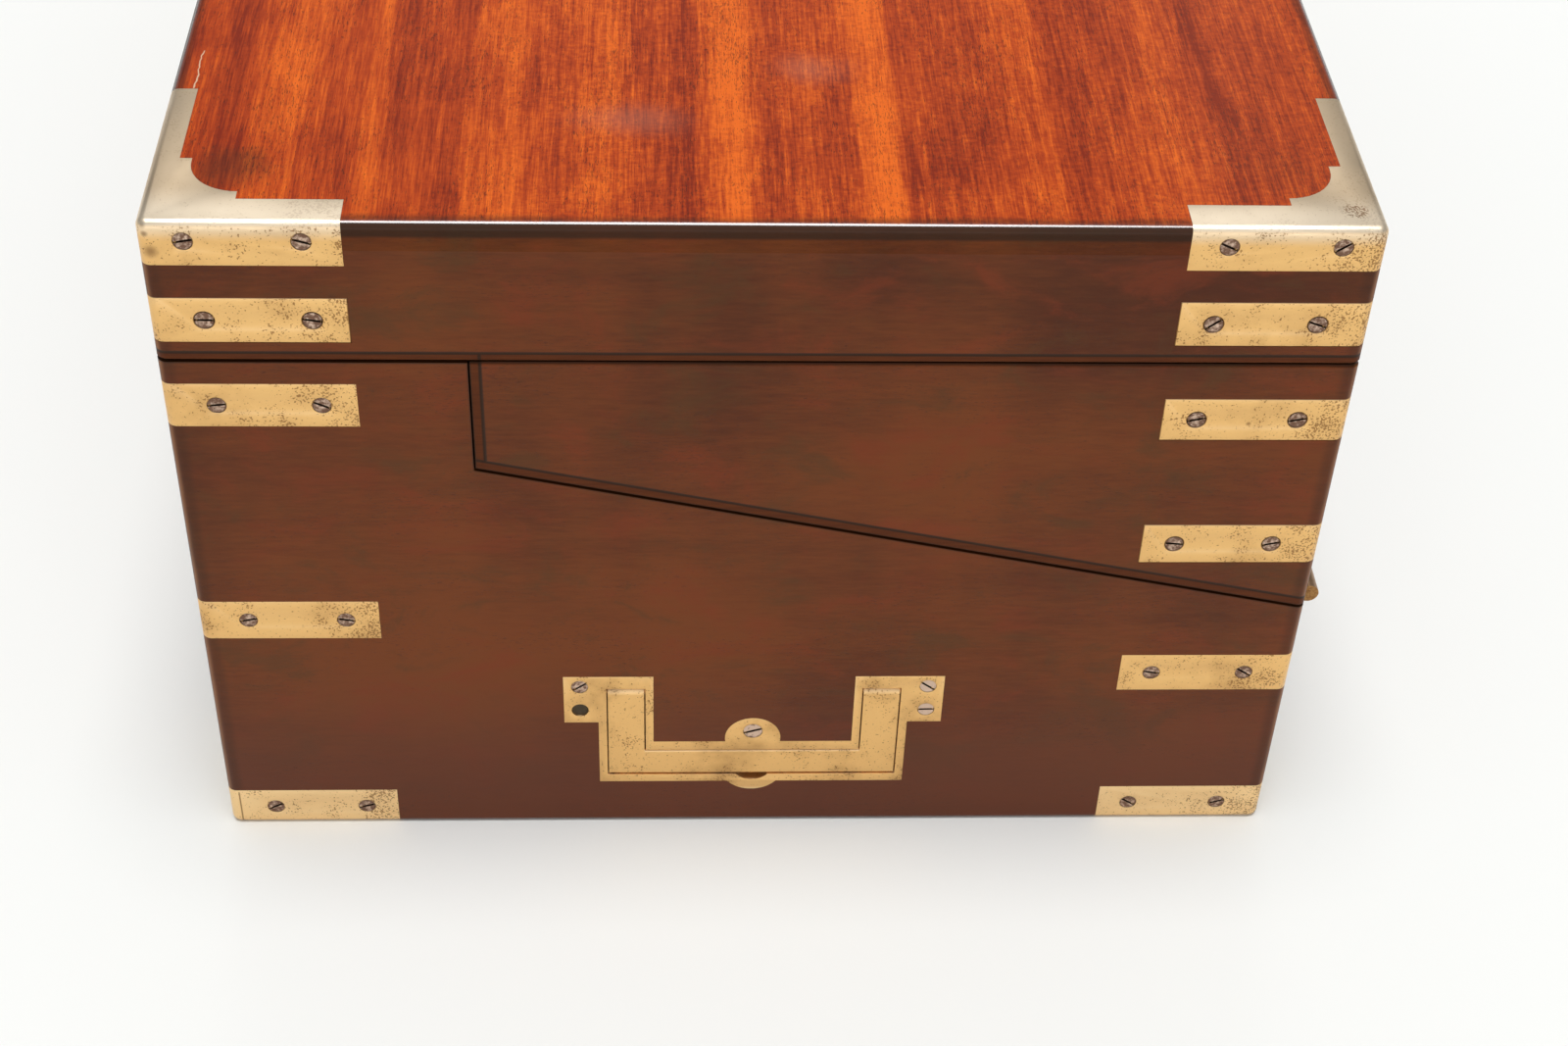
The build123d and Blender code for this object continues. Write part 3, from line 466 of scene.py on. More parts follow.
def side_body(finish, axis, seam_line=None):
    """Colour of the waxed sides, and its broad figure, fibre and pores."""
    wood = settings().wood
    x, y, z = finish.axes()
    streaks, cross = (0.4, 0.9) if axis == "y" else (1.0, 0.25)
    broad = finish.noise(16.0, 2.0, 0.5, 0.4, along_grain(axis, 0.45))
    bands = finish.noise(130.0, 3.0, 0.55, stretch=along_grain(axis, 0.04))
    fibre = finish.noise(1100.0, 3.0, 0.65, stretch=along_grain(axis, 0.13))
    flame = finish.noise(72.0, 5.0, 0.68, 0.5, along_grain(axis, 0.55))
    across = finish.noise(34.0, 2.0, stretch=along_grain(axis, 1.0, 0.15))
    stops = (0.0, 0.55), (0.35, 0.86), (0.55, 0.72), (0.8, 0.46), (1.0, 0.34)
    by_height = finish.ramp(finish.share(z, 0.0, TOP_Z), *stops)
    tone = layered(by_height, (broad, 1.2), (bands, streaks), (fibre, 0.6), (across, cross))
    body = finish.mix(finish.step(tone, 0.0, 1.0), wood.side_dark, wood.side_light)
    body = finish.mix(finish.step(flame, 0.5, 0.7, 0.0, 0.52), body, wood.side_red)
    body = finish.mix(finish.fade(flame, 0.3, 0.49, 0.6), body, wood.side_olive)
    body = finish.mix(finish.fade(z, 10 * MM, 62 * MM, 0.75), body, wood.side_low)
    open_pores = pores(finish, axis, PORE_WIDTH, PORE_STRETCH, 0.14)
    body = finish.mix(open_pores * 0.42, body, wood.pore_colour)
    # the upright arrises and the band under the top arris are darkened, partly stain and partly
    # painted shade
    from_arris = (FACE_Y - abs(y)) | (END_X - abs(x))
    from_arris = finish.noise(60.0, 2.0) * (-1.2 * MM) + from_arris
    stain = finish.fade(from_arris, 2.2 * MM, 4.4 * MM, 0.34)
    stain = stain | finish.step(z, TOP_Z - 4.0 * MM, TOP_Z - 3.0 * MM, 0.0, 0.8)
    body = finish.mix(stain, body, wood.edge_stain_and_shade)
    # a painted highlight along the edge of the upright arrises, partly polish rubbed bare
    rubbed_and_lit = finish.fade(from_arris, -0.4 * MM, 1.2 * MM, 0.75)
    rubbed_and_lit = rubbed_and_lit * finish.fade(z, TOP_Z - 5 * MM, TOP_Z - 3 * MM)
    body = finish.mix(rubbed_and_lit, body, wood.edge_wear_and_highlight)
    # painted shade in the seams' gaps
    body = finish.mix(seam_shade(finish) * 0.8, body, wood.edge_stain_and_shade)
    if seam_line:
        body = finish.mix(seam_line(finish) * 0.96, body, wood.edge_stain_and_shade)
    return body, broad, fibre, open_pores


def side_mahogany(axis, seam_line=None):
    """Waxed dark mahogany of the sides, with the grain along one axis."""
    finish = Finish(f"side_mahogany_{axis}")
    body, broad, fibre, open_pores = side_body(finish, axis, seam_line)
    return finish.set(
        Base_Color=body,
        Roughness=finish.step(broad, 0.3, 0.7, 0.36, 0.46),
        Specular_IOR_Level=0.14, Coat_Weight=0.08, Coat_Roughness=0.2,
        Normal=finish.bump(fibre - open_pores, 0.012 * MM),
    )


def lipping_mahogany():
    """The thin strips at the seams, darker and straighter in grain."""
    wood = settings().wood
    finish = Finish("lipping_mahogany")
    fibre = finish.noise(1500.0, 3.0, stretch=(0.06, 0.06, 1.0))
    body = finish.mix(layered(0.45, (fibre, 1.4)) * 0.6, wood.side_dark, wood.side_light)
    # real joint hairlines, plus painted shade in the seams' gaps
    joints_and_shade = lid_joint(finish) | slope_joints(finish) | seam_shade(finish)
    return finish.set(
        Base_Color=finish.mix(joints_and_shade * 0.88 + 0.07, body, wood.edge_stain_and_shade),
        Roughness=0.46, Specular_IOR_Level=0.1, Coat_Weight=0.03, Coat_Roughness=0.22,
        Normal=finish.bump(fibre, 0.012 * MM),
    )


def top_stripes(finish, y):
    """The broad stripes across the top, from the back edge to the front."""
    along = finish.share(y, FACE_Y, -FACE_Y)
    farther = finish.ramp(
        along,
        (0.0, 0.34), (0.03, 0.46), (0.055, 0.3), (0.08, 0.52), (0.105, 0.68), (0.128, 0.46),
        (0.15, 0.4), (0.168, 0.64), (0.18, 0.42), (0.225, 0.36), (0.262, 0.56), (0.285, 0.72),
        (0.3, 0.46), (0.34, 0.4), (0.372, 0.62), (0.395, 0.34), (0.43, 0.32), (0.455, 0.76),
        (0.475, 0.86), (0.497, 0.46), (0.53, 0.4), (0.562, 0.46), (0.58, 0.88), (0.6, 0.84),
        (0.616, 0.34), interpolation="EASE",
    )
    nearer = finish.ramp(
        along,
        (0.616, 0.34), (0.66, 0.4), (0.69, 0.32), (0.712, 0.6), (0.735, 0.66), (0.752, 0.38),
        (0.8, 0.3), (0.845, 0.46), (0.88, 0.36), (0.915, 0.42), (0.95, 0.34), (1.0, 0.3),
        interpolation="EASE",
    )
    return finish.step(along, 0.6155, 0.6165) * (nearer - farther) + farther


def figured_mahogany():
    """French-polished figured mahogany of the lid's top."""
    wood = settings().wood
    finish = Finish("figured_mahogany")
    x, y, z = finish.axes()
    bend = finish.noise(12.0, 1.0, stretch=(0.16, 1.0, 1.0))
    bent_y = bend * STRIPE_BEND + (y - 0.5 * STRIPE_BEND)
    ribbons = finish.noise(150.0, 3.0, 0.55, stretch=(0.045, 1.0, 1.0))
    threads = finish.noise(1100.0, 3.0, 0.6, stretch=(0.04, 1.0, 1.0))
    hairs = finish.noise(2600.0, 2.0, 0.6, stretch=(0.05, 1.0, 1.0))
    mottle = finish.noise(42.0, 3.0, 0.55, 0.5, (0.8, 1.0, 1.0))
    ripple = finish.noise(900.0, 2.0, 0.6, stretch=(1.0, 0.55, 1.0))
    shade = layered(
        top_stripes(finish, bent_y),
        (ribbons, 0.82), (threads, 1.1), (hairs, 1.0), (mottle, 0.75), (ripple, 0.26),
    )
    shade = (ripple * 0.5 - 0.25) * finish.fade(y, 35 * MM, 95 * MM) + shade
    stops = (0.02, wood.top_dark), (0.46, wood.top_middle), (0.98, wood.top_bright)
    body = finish.ramp(shade, *stops)
    open_pores = pores(finish, "x", PORE_WIDTH, PORE_STRETCH, 0.11, 0.68)
    body = finish.mix(open_pores * 0.6, body, wood.pore_colour)
    # dirt round the corner brasses and along the edges
    from_side = FACE_Y - abs(y)
    from_end = END_X - abs(x)
    offset = finish.add(
        "CombineXYZ", {0: from_end - CORNER_HOLLOW[0], 1: from_side - CORNER_HOLLOW[1]}
    )
    from_corner = mottle * (-2.0 * SMUDGE_WANDER) + (finish.long(offset) + SMUDGE_WANDER)
    smudge = finish.fade(from_corner, 4.0 * MM, 14.0 * MM, 0.5)
    smudge = smudge * finish.step(y, -20 * MM, 20 * MM, 0.25, 1.0)
    from_edge = mottle * (-3.0 * MM) + (from_side & from_end)
    smudge = smudge | finish.fade(from_edge, 0.2 * MM, 2.6 * MM, 0.55)
    body = finish.mix(smudge, body, wood.edge_stain_and_shade)
    # painted reflections: foggy patches on the polish, and a faint haze towards the front
    for place, reach in REFLECTION_PATCHES:
        offset = finish.vector("SUBTRACT", finish.place, place)
        away = mottle * 1.1 + finish.long(finish.vector("DIVIDE", offset, reach))
        body = finish.mix(finish.fade(away, 0.5, 1.7, 0.24), body, wood.reflection_haze)
    body = finish.mix(finish.fade(y, -125 * MM, -60 * MM, 0.08), body, wood.reflection_haze)
    split = finish.noise(160.0, 3.0) * (2.4 * MM) + (y - SPLIT_Y)
    split = line(finish, split, 0.2 * MM) * (
        finish.step(x, SPLIT_X[0], SPLIT_X[0] + MM) * finish.fade(x, SPLIT_X[1] - MM, SPLIT_X[1])
    )
    body = finish.mix(split, body, wood.split_colour)
    up = finish.upward()
    return finish.set(
        Base_Color=finish.mix(finish.step(up, 0.8, 0.97), side_body(finish, "y")[0], body),
        Roughness=0.4, Specular_IOR_Level=0.04, Coat_Roughness=0.13, Coat_IOR=1.8,
        Coat_Weight=finish.ramp(
            up, (0.0, 0.08), (0.2, 0.12), (0.6, 0.14), (0.8, 1.0), (0.975, 1.0), (0.995, 0.03)
        ),
        Normal=finish.bump(threads - open_pores, 0.01 * MM),
    )


def inner_mahogany(axis):
    """Plain oiled mahogany of the inside."""
    wood = settings().wood
    finish = Finish(f"inner_mahogany_{axis}")
    broad = finish.noise(60.0, 3.0, 0.55, 0.5, along_grain(axis, 0.12))
    fibre = finish.noise(800.0, 4.0, 0.6, stretch=along_grain(axis, 0.04))
    tone = fibre * 0.45 + broad * 0.75
    body = finish.mix(finish.step(tone, 0.38, 0.85), wood.inner_dark, wood.inner_light)
    open_pores = pores(finish, axis, 0.25 * MM, 0.12, 0.18)
    return finish.set(
        Base_Color=finish.mix(open_pores * 0.5, body, wood.pore_colour),
        Roughness=0.58,
        Normal=finish.bump(fibre - open_pores, 0.03 * MM),
    )


def brass_finish(name="worn_brass", darkening=0.0, polish=0.0):
    """Worn brass: gold on upright faces, grey on the upper ones (partly rubbed wear, partly painted
    reflection), with dark pits.
    """
    if name in bpy.data.materials:
        return bpy.data.materials[name]
    brass = settings().brass
    finish = Finish(name)
    x, y, z = finish.axes()
    facing_up = finish.step(finish.upward(), 0.05, 0.7)
    facing_up = facing_up * finish.step(z, 60 * MM, 80 * MM, 0.3, 1.0)
    cloud = finish.noise(55.0, 4.0, 0.6)
    from_end = END_X - abs(x)
    along_leg = (FACE_Y - abs(y)) | from_end
    off_straps = finish.step(along_leg, 46 * MM, 54 * MM)
    # gold under a brown film, heavier on the handles; a painted reflection of the floor lightens
    # the lowest straps
    film = finish.step(cloud, 0.44, 0.78, 0.0, 0.4)
    film = off_straps * (film * 0.9) + film
    body = finish.mix(film, brass.gold, brass.tarnish)
    body = finish.mix(finish.fade(z, STRAP_WIDTH, STRAP_WIDTH + MM, 0.55), body, brass.floor_reflection)
    # near the ends the grey is lightened by a painted highlight, partly wear
    worn_and_sheen = finish.mix(finish.fade(from_end, 3.0 * MM, 15.0 * MM, 0.8), brass.worn_and_sheen, brass.bright)
    # upper faces and a band under the top are greyed, partly rubbed wear and partly painted
    # reflection
    rubbed_grey_and_sheen = facing_up | finish.step(z, TOP_Z - 5.0 * MM, TOP_Z - 1.5 * MM, 0.0, 0.62)
    body = finish.mix(rubbed_grey_and_sheen * 0.88, body, worn_and_sheen)
    # pits gather at the back straps' tips and the front straps' corners
    leg_tip = finish.step(along_leg, 27 * MM, STRAP_LEG) * finish.step(y, 0.0, 60 * MM)
    leg_start = finish.fade(along_leg, 3 * MM, 19 * MM) * finish.fade(y, -60 * MM, 0.0)
    gathered = (leg_tip | leg_start) * (1.0 - off_straps)
    specks = finish.cells(1900.0) * -0.34 + 0.17 + finish.noise(1700.0, 3.0, 0.62)
    patches = gathered * 0.13 + finish.noise(110.0, 5.0, 0.7)
    cluster = finish.fade(finish.away(PITTED_SPOT), 1.8 * MM, 3.8 * MM)
    threshold = cluster * -0.06 + finish.step(patches, 0.44, 0.72, 0.685, 0.5)
    pits = finish.step(specks - threshold, 0.0, 0.05)
    pits = pits * (cluster | finish.step(facing_up, 0.0, 1.0, 1.0, 0.25))
    body = finish.mix(pits * 0.74, body, brass.pit)
    crack = line(finish, y - CRACK_Y, 0.3 * MM) * finish.fade(z, CRACK_TOP, CRACK_TOP + 0.6 * MM)
    crack = crack * finish.fade(x, -END_X + MM, -END_X + 2 * MM, 0.8)
    body = finish.mix(crack, body, brass.pit)
    for place, radius in STAINS:
        away = patches * radius + finish.away(place)
        body = finish.mix(finish.fade(away, 0.6 * radius, 1.4 * radius, 0.62), body, brass.stain)
    if darkening:
        body = finish.mix(darkening, body, brass.pit)
    scratches = finish.noise(900.0, 3.0, stretch=(1.0, 1.0, 0.3))
    return finish.set(
        Base_Color=body,
        Metallic=1.0,
        Roughness=finish.step(cloud, 0.3, 0.75, 0.34 - polish, 0.5 - polish),
        Normal=finish.bump(pits * -1.0 + scratches * 0.15, 0.05 * MM),
    )


def screw_metal():
    """Tarnished steel, rubbed in the middle of a head and dark round its rim."""
    name = "tarnished_screw_steel"
    if name in bpy.data.materials:
        return bpy.data.materials[name]
    screws = settings().screws
    finish = Finish(name)
    cloud = finish.noise(1100.0, 3.0, 0.6)
    dull = cloud * 2.2 + (finish.attribute("rim") * 0.3 - 0.98) - finish.attribute("shine")
    body = finish.mix(finish.step(dull, -0.2, 0.5), screws.metal, screws.rust)
    # painted shade in the slot and round the head, partly dirt
    return finish.set(
        Base_Color=finish.mix(finish.attribute("dirt"), body, screws.slot_shade_and_grime),
        Metallic=0.8, Roughness=0.46,
        Normal=finish.bump(cloud, 0.06 * MM),
    )


def inkwell_glass():
    """Clear, faintly green glass."""
    return Finish("inkwell_glass").set(
        Base_Color=(0.9, 0.97, 0.95), Roughness=0.03, IOR=1.5, Transmission_Weight=1.0
    )


def writing_leather():
    """Dark green skiver with a fine grain."""
    finish = Finish("writing_leather")
    body = finish.mix(finish.noise(40.0, 4.0), (0.018, 0.045, 0.024), (0.035, 0.08, 0.042))
    return finish.set(
        Base_Color=body,
        Roughness=0.55,
        Normal=finish.bump(finish.cells(1600.0), 0.06 * MM),
    )


def lining_cloth():
    """Dull purple velvet."""
    finish = Finish("lining_velvet")
    body = finish.mix(finish.noise(24.0, 3.0), (0.03, 0.012, 0.045), (0.07, 0.03, 0.09))
    return finish.set(
        Base_Color=body,
        Roughness=0.95, Sheen_Weight=0.6, Sheen_Roughness=0.4,
        Normal=finish.bump(finish.noise(2500.0, 2.0), 0.2 * MM),
    )


def plain_dark():
    """The shadowed inside of a hole."""
    finish = Finish("screw_hole_dark")
    body = finish.mix(finish.noise(1200.0, 2.0), (0.04, 0.026, 0.012), (0.075, 0.05, 0.024))
    return finish.set(Base_Color=body, Roughness=0.9)


# ---- meshes
def dress(material, *nodes):
    """Finishes CAD pieces that keep their own shape."""
    for name in nodes:
        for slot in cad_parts[name].material_slots:
            slot.material = material


def new_object(name, data):
    """A new object at the origin."""
    item = bpy.data.objects.new(name, data)
    bpy.context.scene.collection.objects.link(item)
    return item


def new_piece(name, shape, *materials):
    """A new mesh object made from a shape, with these materials."""
    mesh = bpy.data.meshes.new(name)
    shape.to_mesh(mesh)
    shape.free()
    for material in materials:
        mesh.materials.append(material)
    return new_object(name, mesh)


def settled(piece):
    """Turns a piece's modifiers into plain mesh."""
    graph = bpy.context.evaluated_depsgraph_get()
    mesh = bpy.data.meshes.new_from_object(piece.evaluated_get(graph))
    piece.modifiers.clear()
    piece.data = mesh
    return piece


def merged_copy(name, node, *materials):
    """A copy of a CAD piece with its loose triangles joined."""
    shape = bmesh.new()
    shape.from_mesh(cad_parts[node].data)
    bmesh.ops.remove_doubles(shape, verts=shape.verts, dist=MERGE_GAP)
    return new_piece(name, shape, *materials)


def add_disc(shape, radius, depth, place, turn):
    """Adds a short round bar to a shape, with its middle at a place."""
    bmesh.ops.create_cone(
        shape, cap_ends=True, segments=HOLE_SEGMENTS, radius1=radius, radius2=radius, depth=depth,
        matrix=Matrix.Translation(place) @ turn,
    )


def cutter(name, holes, gap, depth):
    """One mesh of round cutters for the screws' holes."""
    shape = bmesh.new()
    for hole in holes:
        turn = hole.outward.to_track_quat("Z", "Y").to_matrix().to_4x4()
        add_disc(shape, hole.radius + gap, 2.0 * depth, hole.place, turn)
    return new_piece(name, shape)


def eased(piece, holes, width):
    """Bores a brass piece, eases its edges and smooths its rounded faces."""
    screws = settings().screws
    bore = None
    if holes:
        bore = cutter("bore", holes, screws.hole_gap, screws.head_depth + screws.sink)
        cut = piece.modifiers.new("holes", "BOOLEAN")
        cut.object = bore
        cut.solver = "EXACT"
    flat = piece.modifiers.new("flat faces", "DECIMATE")
    flat.decimate_type = "DISSOLVE"
    flat.angle_limit = math.radians(1.0)
    ease = piece.modifiers.new("eased edges", "BEVEL")
    ease.width = width
    ease.segments = 2
    ease.limit_method = "ANGLE"
    ease.angle_limit = math.radians(35.0)
    ease.material = 1
    settled(piece)
    if bore:
        bpy.data.objects.remove(bore)
    piece.data.polygons.foreach_set("use_smooth", [True] * len(piece.data.polygons))
    piece.data.set_sharp_from_angle(angle=math.radians(40.0))


def fitting(name, node, body, holes, edge=GRIMY_EDGE, ease=1.0):
    """A bored and eased brass piece in place of a CAD piece."""
    piece = merged_copy(name, node, brass_finish(), brass_finish(*edge))
    eased(piece, holes, ease * settings().brass.edge_width)
    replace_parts(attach(piece, body), node)


# ---- screws
def pair_holes(level, side_y, offsets=STRAP_SCREWS):
    """The screws at one level of both corners of the front (-1) or back (1)."""
    radius = settings().screws.head_radius
    holes = []
    for side_x in (-1, 1):
        for offset in offsets:
            on_end = Vector((side_x * END_X, side_y * (FACE_Y - offset), level))
            on_face = Vector((side_x * (END_X - offset), side_y * FACE_Y, level))
            holes.append(Hole(on_end, Vector((side_x, 0, 0)), radius))
            holes.append(Hole(on_face, Vector((0, side_y, 0)), radius))
    return holes


def strap_levels(node, side_y):
    """Middle heights of a CAD piece's straps on one side, read from its corners."""
    heights = sorted(
        round(vertex.co.z, 5)
        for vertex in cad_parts[node].data.vertices
        if vertex.co.y * side_y > FACE_Y - 2 * STRAP_WIDTH
        and abs(vertex.co.x) < END_X - STRAP_LEG + MM
    )
    lows = heights[:1]
    for height in heights:
        if height > lows[-1] + STRAP_WIDTH + 0.1 * MM:
            lows.append(height)
    return [low + STRAP_WIDTH / 2 for low in lows]


def handle_holes(side_x):
    """The screws of one handle plate: two in each ear and one in the lobe."""
    ear, lobe = settings().screws.handle_head_radius, settings().screws.lobe_head_radius
    places = [
        (side * EAR_SCREW_Y, height, ear, 0.75 if side < 0 else 0.15)
        for side in (-1, 1)
        for height in EAR_SCREW_HEIGHTS
    ]
    places.append((0.0, LOBE_SCREW_HEIGHT, lobe, 0.5))
    return [
        Hole(Vector((side_x * END_X, y, z)), Vector((side_x, 0, 0)), radius, shine)
        for y, z, radius, shine in places
    ]


def seam_hole(x, y, level, facing, radius):
    """A screw in one face of the lid's seam, facing up (1) or down (-1)."""
    return Hole(Vector((x, y, level)), Vector((0, 0, facing)), radius, SEAM_SCREW_SHINE)


def leaf_holes(level, facing):
    """The screws of the lid hinges' leaves."""
    radius = settings().screws.leaf_head_radius
    return [
        seam_hole(
            side_x * LEAF_MIDDLE_X + shift * LEAF_SCREW_SPACING, FACE_Y - LEAF_SCREW_FROM_FACE,
            level, facing, radius,
        )
        for side_x in (-1, 1)
        for shift in (-1, 1)
    ]


def lock_holes(level, facing):
    """The two screws of the lock or its link plate."""
    radius = settings().screws.lock_head_radius
    return [
        seam_hole(side * LOCK_SCREW_X, LOCK_MIDDLE_Y, level, facing, radius) for side in (-1, 1)
    ]


def build_screw_tree():
    """A tree that sets a slotted head on every point, facing outward."""
    tree = bpy.data.node_groups.new("Screw heads", "GeometryNodeTree")
    inputs = {
        "Points": "Geometry", "Head depth": "Float", "Slot width": "Float", "Slot depth": "Float",
        "Sink": "Float", "Spread": "Float", "Seed": "Int", "Metal": "Material",
    }
    for name, kind in inputs.items():
        tree.interface.new_socket(name, in_out="INPUT", socket_type=f"NodeSocket{kind}")
    tree.interface.new_socket("Screws", in_out="OUTPUT", socket_type="NodeSocketGeometry")
    group = add_node(tree, "NodeGroupInput").outputs
    given = {name: Value(tree, group[name]) for name in inputs}

    def node(kind, sockets=None, **values):
        return value_of(tree, kind, sockets, **values)

    def solid(kind, sockets=None, **values):
        return node(f"GeometryNode{kind}", sockets, **values)

    def vector(x=0.0, y=0.0, z=0.0):
        return node("ShaderNodeCombineXYZ", {0: x, 1: y, 2: z})

    def stored(name, kind="FLOAT"):
        return solid("InputNamedAttribute", {"Name": name}, data_type=kind)

    def storing(geometry, name, value, domain):
        sockets = {"Geometry": geometry, "Name": name, "Value": value}
        return solid("StoreNamedAttribute", sockets, data_type="FLOAT", domain=domain)

    # a head of radius 1 and depth 1, whose top is at height 0
    cone = solid("MeshCone", {
        "Vertices": 24, "Side Segments": 1, "Fill Segments": 3,
        "Radius Top": 1.0, "Radius Bottom": 0.55, "Depth": 1.0,
    })
    spot = solid("InputPosition")
    flat = node("ShaderNodeVectorMath", {0: spot, 1: (1.0, 1.0, 0.0)}, operation="MULTIPLY")
    from_middle = node("ShaderNodeVectorMath", {0: flat}, output="Value", operation="LENGTH")
    cone = storing(cone, "rim", from_middle, "POINT")
    lowered = solid("Transform", {"Geometry": cone, "Translation": (0.0, 0.0, -1.0)})
    slot_size = vector(2.4, given["Slot width"], given["Slot depth"])
    slot = solid("MeshCube", {"Size": (1.0, 1.0, 1.0)})
    slot = solid("Transform", {"Geometry": slot, "Scale": slot_size})
    head = solid("MeshBoolean", {0: lowered, 1: slot}, operation="DIFFERENCE")
    # the slot and the flank get painted shade, partly dirt
    level = node("ShaderNodeSeparateXYZ", {0: spot}, output=2)
    head = storing(head, "dirt", level < -0.02, "FACE")
    # one head on each point, turned by its own angle and a little at random
    outward = stored("outward", "FLOAT_VECTOR")
    facing = node("FunctionNodeAlignRotationToVector", {"Vector": outward}, axis="Z")
    limits = {2: given["Spread"] * -1.0, 3: given["Spread"], "Seed": given["Seed"]}
    stray = node("FunctionNodeRandomValue", limits, output=1, data_type="FLOAT")
    spin = node("FunctionNodeEulerToRotation", {0: vector(z=stored("turn") + stray)})
    turned = node("FunctionNodeRotateRotation", {0: facing, 1: spin}, rotation_space="LOCAL")
    sunk = node("ShaderNodeVectorMath", {0: outward, 3: given["Sink"] * -1.0}, operation="SCALE")
    points = solid("SetPosition", {"Geometry": given["Points"], "Offset": sunk})
    radius = stored("head_radius")
    placed = solid("InstanceOnPoints", {
        "Points": points, "Instance": head, "Rotation": turned,
        "Scale": vector(radius, radius, given["Head depth"]),
    })
    placed = solid("RealizeInstances", {0: placed})
    finished = solid("SetMaterial", {"Geometry": placed, "Material": given["Metal"]})
    add_node(tree, "NodeGroupOutput", {0: finished})
    return tree


def store(mesh, name, kind, field, values):
    """Writes one point attribute of a mesh."""
    mesh.attributes.new(name, kind, "POINT").data.foreach_set(field, values)


def set_screws(name, holes, body, seed_shift=0):
    """One mesh of screw heads for a body, made by the screw tree."""
    screws = settings().screws
    mesh = bpy.data.meshes.new(name)
    mesh.from_pydata([hole.place for hole in holes], [], [])
    outward = [part for hole in holes for part in hole.outward]
    store(mesh, "outward", "FLOAT_VECTOR", "vector", outward)
    store(mesh, "head_radius", "FLOAT", "value", [hole.radius for hole in holes])
    store(mesh, "shine", "FLOAT", "value", [hole.shine for hole in holes])
    on_end = [abs(hole.outward.x) > 0.5 for hole in holes]
    store(mesh, "turn", "FLOAT", "value", [math.pi / 2 if turned else 0.0 for turned in on_end])
    piece = new_object(name, mesh)
    tree = bpy.data.node_groups.get("Screw heads") or build_screw_tree()
    modifier = piece.modifiers.new("screws", "NODES")
    modifier.node_group = tree
    values = {
        "Head depth": screws.head_depth,
        "Slot width": screws.slot_width / screws.head_radius,
        "Slot depth": screws.slot_depth / screws.head_depth,
        "Sink": screws.sink,
        "Spread": screws.spread,
        "Seed": screws.seed + seed_shift,
        "Metal": screw_metal(),
    }
    for item in tree.interface.items_tree:
        if item.in_out == "INPUT" and item.name in values:
            modifier[item.identifier] = values[item.name]
    settled(piece)
    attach(piece, body)


# ---- operators
class StageOperator(bpy.types.Operator):
    """Makes the floor, the lights and the camera"""

    bl_idname = "writing_slope.stage"
    bl_label = "Stage"

    def execute(self, context):
        stage = settings().stage
        context.scene.view_settings.view_transform = "Standard"
        paper = Finish("pale_floor").set(
            Base_Color=stage.floor_colour, Roughness=0.9, Specular_IOR_Level=0.1
        )
        shape = bmesh.new()
        bmesh.ops.create_grid(shape, x_segments=1, y_segments=1, size=stage.floor_size / 2)
        new_piece("floor", shape, paper)
        context.scene.world = self.room(stage)
        self.overhead(stage)
        self.softbox("near_softbox", *NEAR_SOFTBOX, stage.near_size, stage.near_power)
        self.softbox("far_softbox", *FAR_SOFTBOX, stage.fill_size, stage.fill_power)
        context.scene.camera = self.camera(stage)
        return {"FINISHED"}

    def room(self, stage):
        """Plain surroundings, bright just above the floor and overhead."""
        world = bpy.data.worlds.new("room")
        world.use_nodes = True
        tree = world.node_tree
        outward = value_of(tree, "ShaderNodeTexCoord", output="Generated")
        height = value_of(tree, "ShaderNodeSeparateXYZ", {0: outward}, output=2) | 0.0
        wall = {0: height, 1: 0.02, 2: 0.22, 3: stage.horizon, 4: 0.0}
        wall = value_of(tree, "ShaderNodeMapRange", wall, interpolation_type="SMOOTHSTEP")
        glow = height * height * (stage.sky_high - stage.sky_low) + stage.sky_low + wall
        background = tree.nodes["Background"]
        feed(tree, background.inputs["Color"], stage.sky_colour)
        feed(tree, background.inputs["Strength"], glow)
        return world

    def overhead(self, stage):
        """An even light straight down over the whole floor."""
        light = bpy.data.lights.new("overhead", "SUN")
        light.angle = stage.key_spread
        light.energy = stage.key_strength
        new_object("overhead", light).rotation_euler = (0.0, -stage.key_lean, 0.0)

    def softbox(self, name, place, target, size, power):
        """A square area light at a place, aimed at a target."""
        light = bpy.data.lights.new(name, "AREA")
        light.size = size
        light.energy = power
        lamp = new_object(name, light)
        lamp.location = place
        lamp.rotation_euler = (Vector(target) - Vector(place)).to_track_quat("-Z", "Y").to_euler()

    def camera(self, stage):
        lens = bpy.data.cameras.new("camera")
        lens.sensor_width = 36.0
        lens.lens = stage.camera_lens
        lens.clip_start = 0.01
        view = new_object("camera", lens)
        # unturned, the camera looks along the box with the front on its right
        level = Matrix(((0, 0, -1), (-1, 0, 0), (0, 1, 0)))
        turn = Matrix.Rotation(stage.camera_turn, 3, "Z")
        tilt = Matrix.Rotation(stage.camera_tilt, 3, "Y")
        roll = Matrix.Rotation(stage.camera_roll, 3, "X")
        facing = (turn @ tilt @ roll @ level).to_4x4()
        view.matrix_world = Matrix.Translation(stage.camera_place) @ facing
        return view


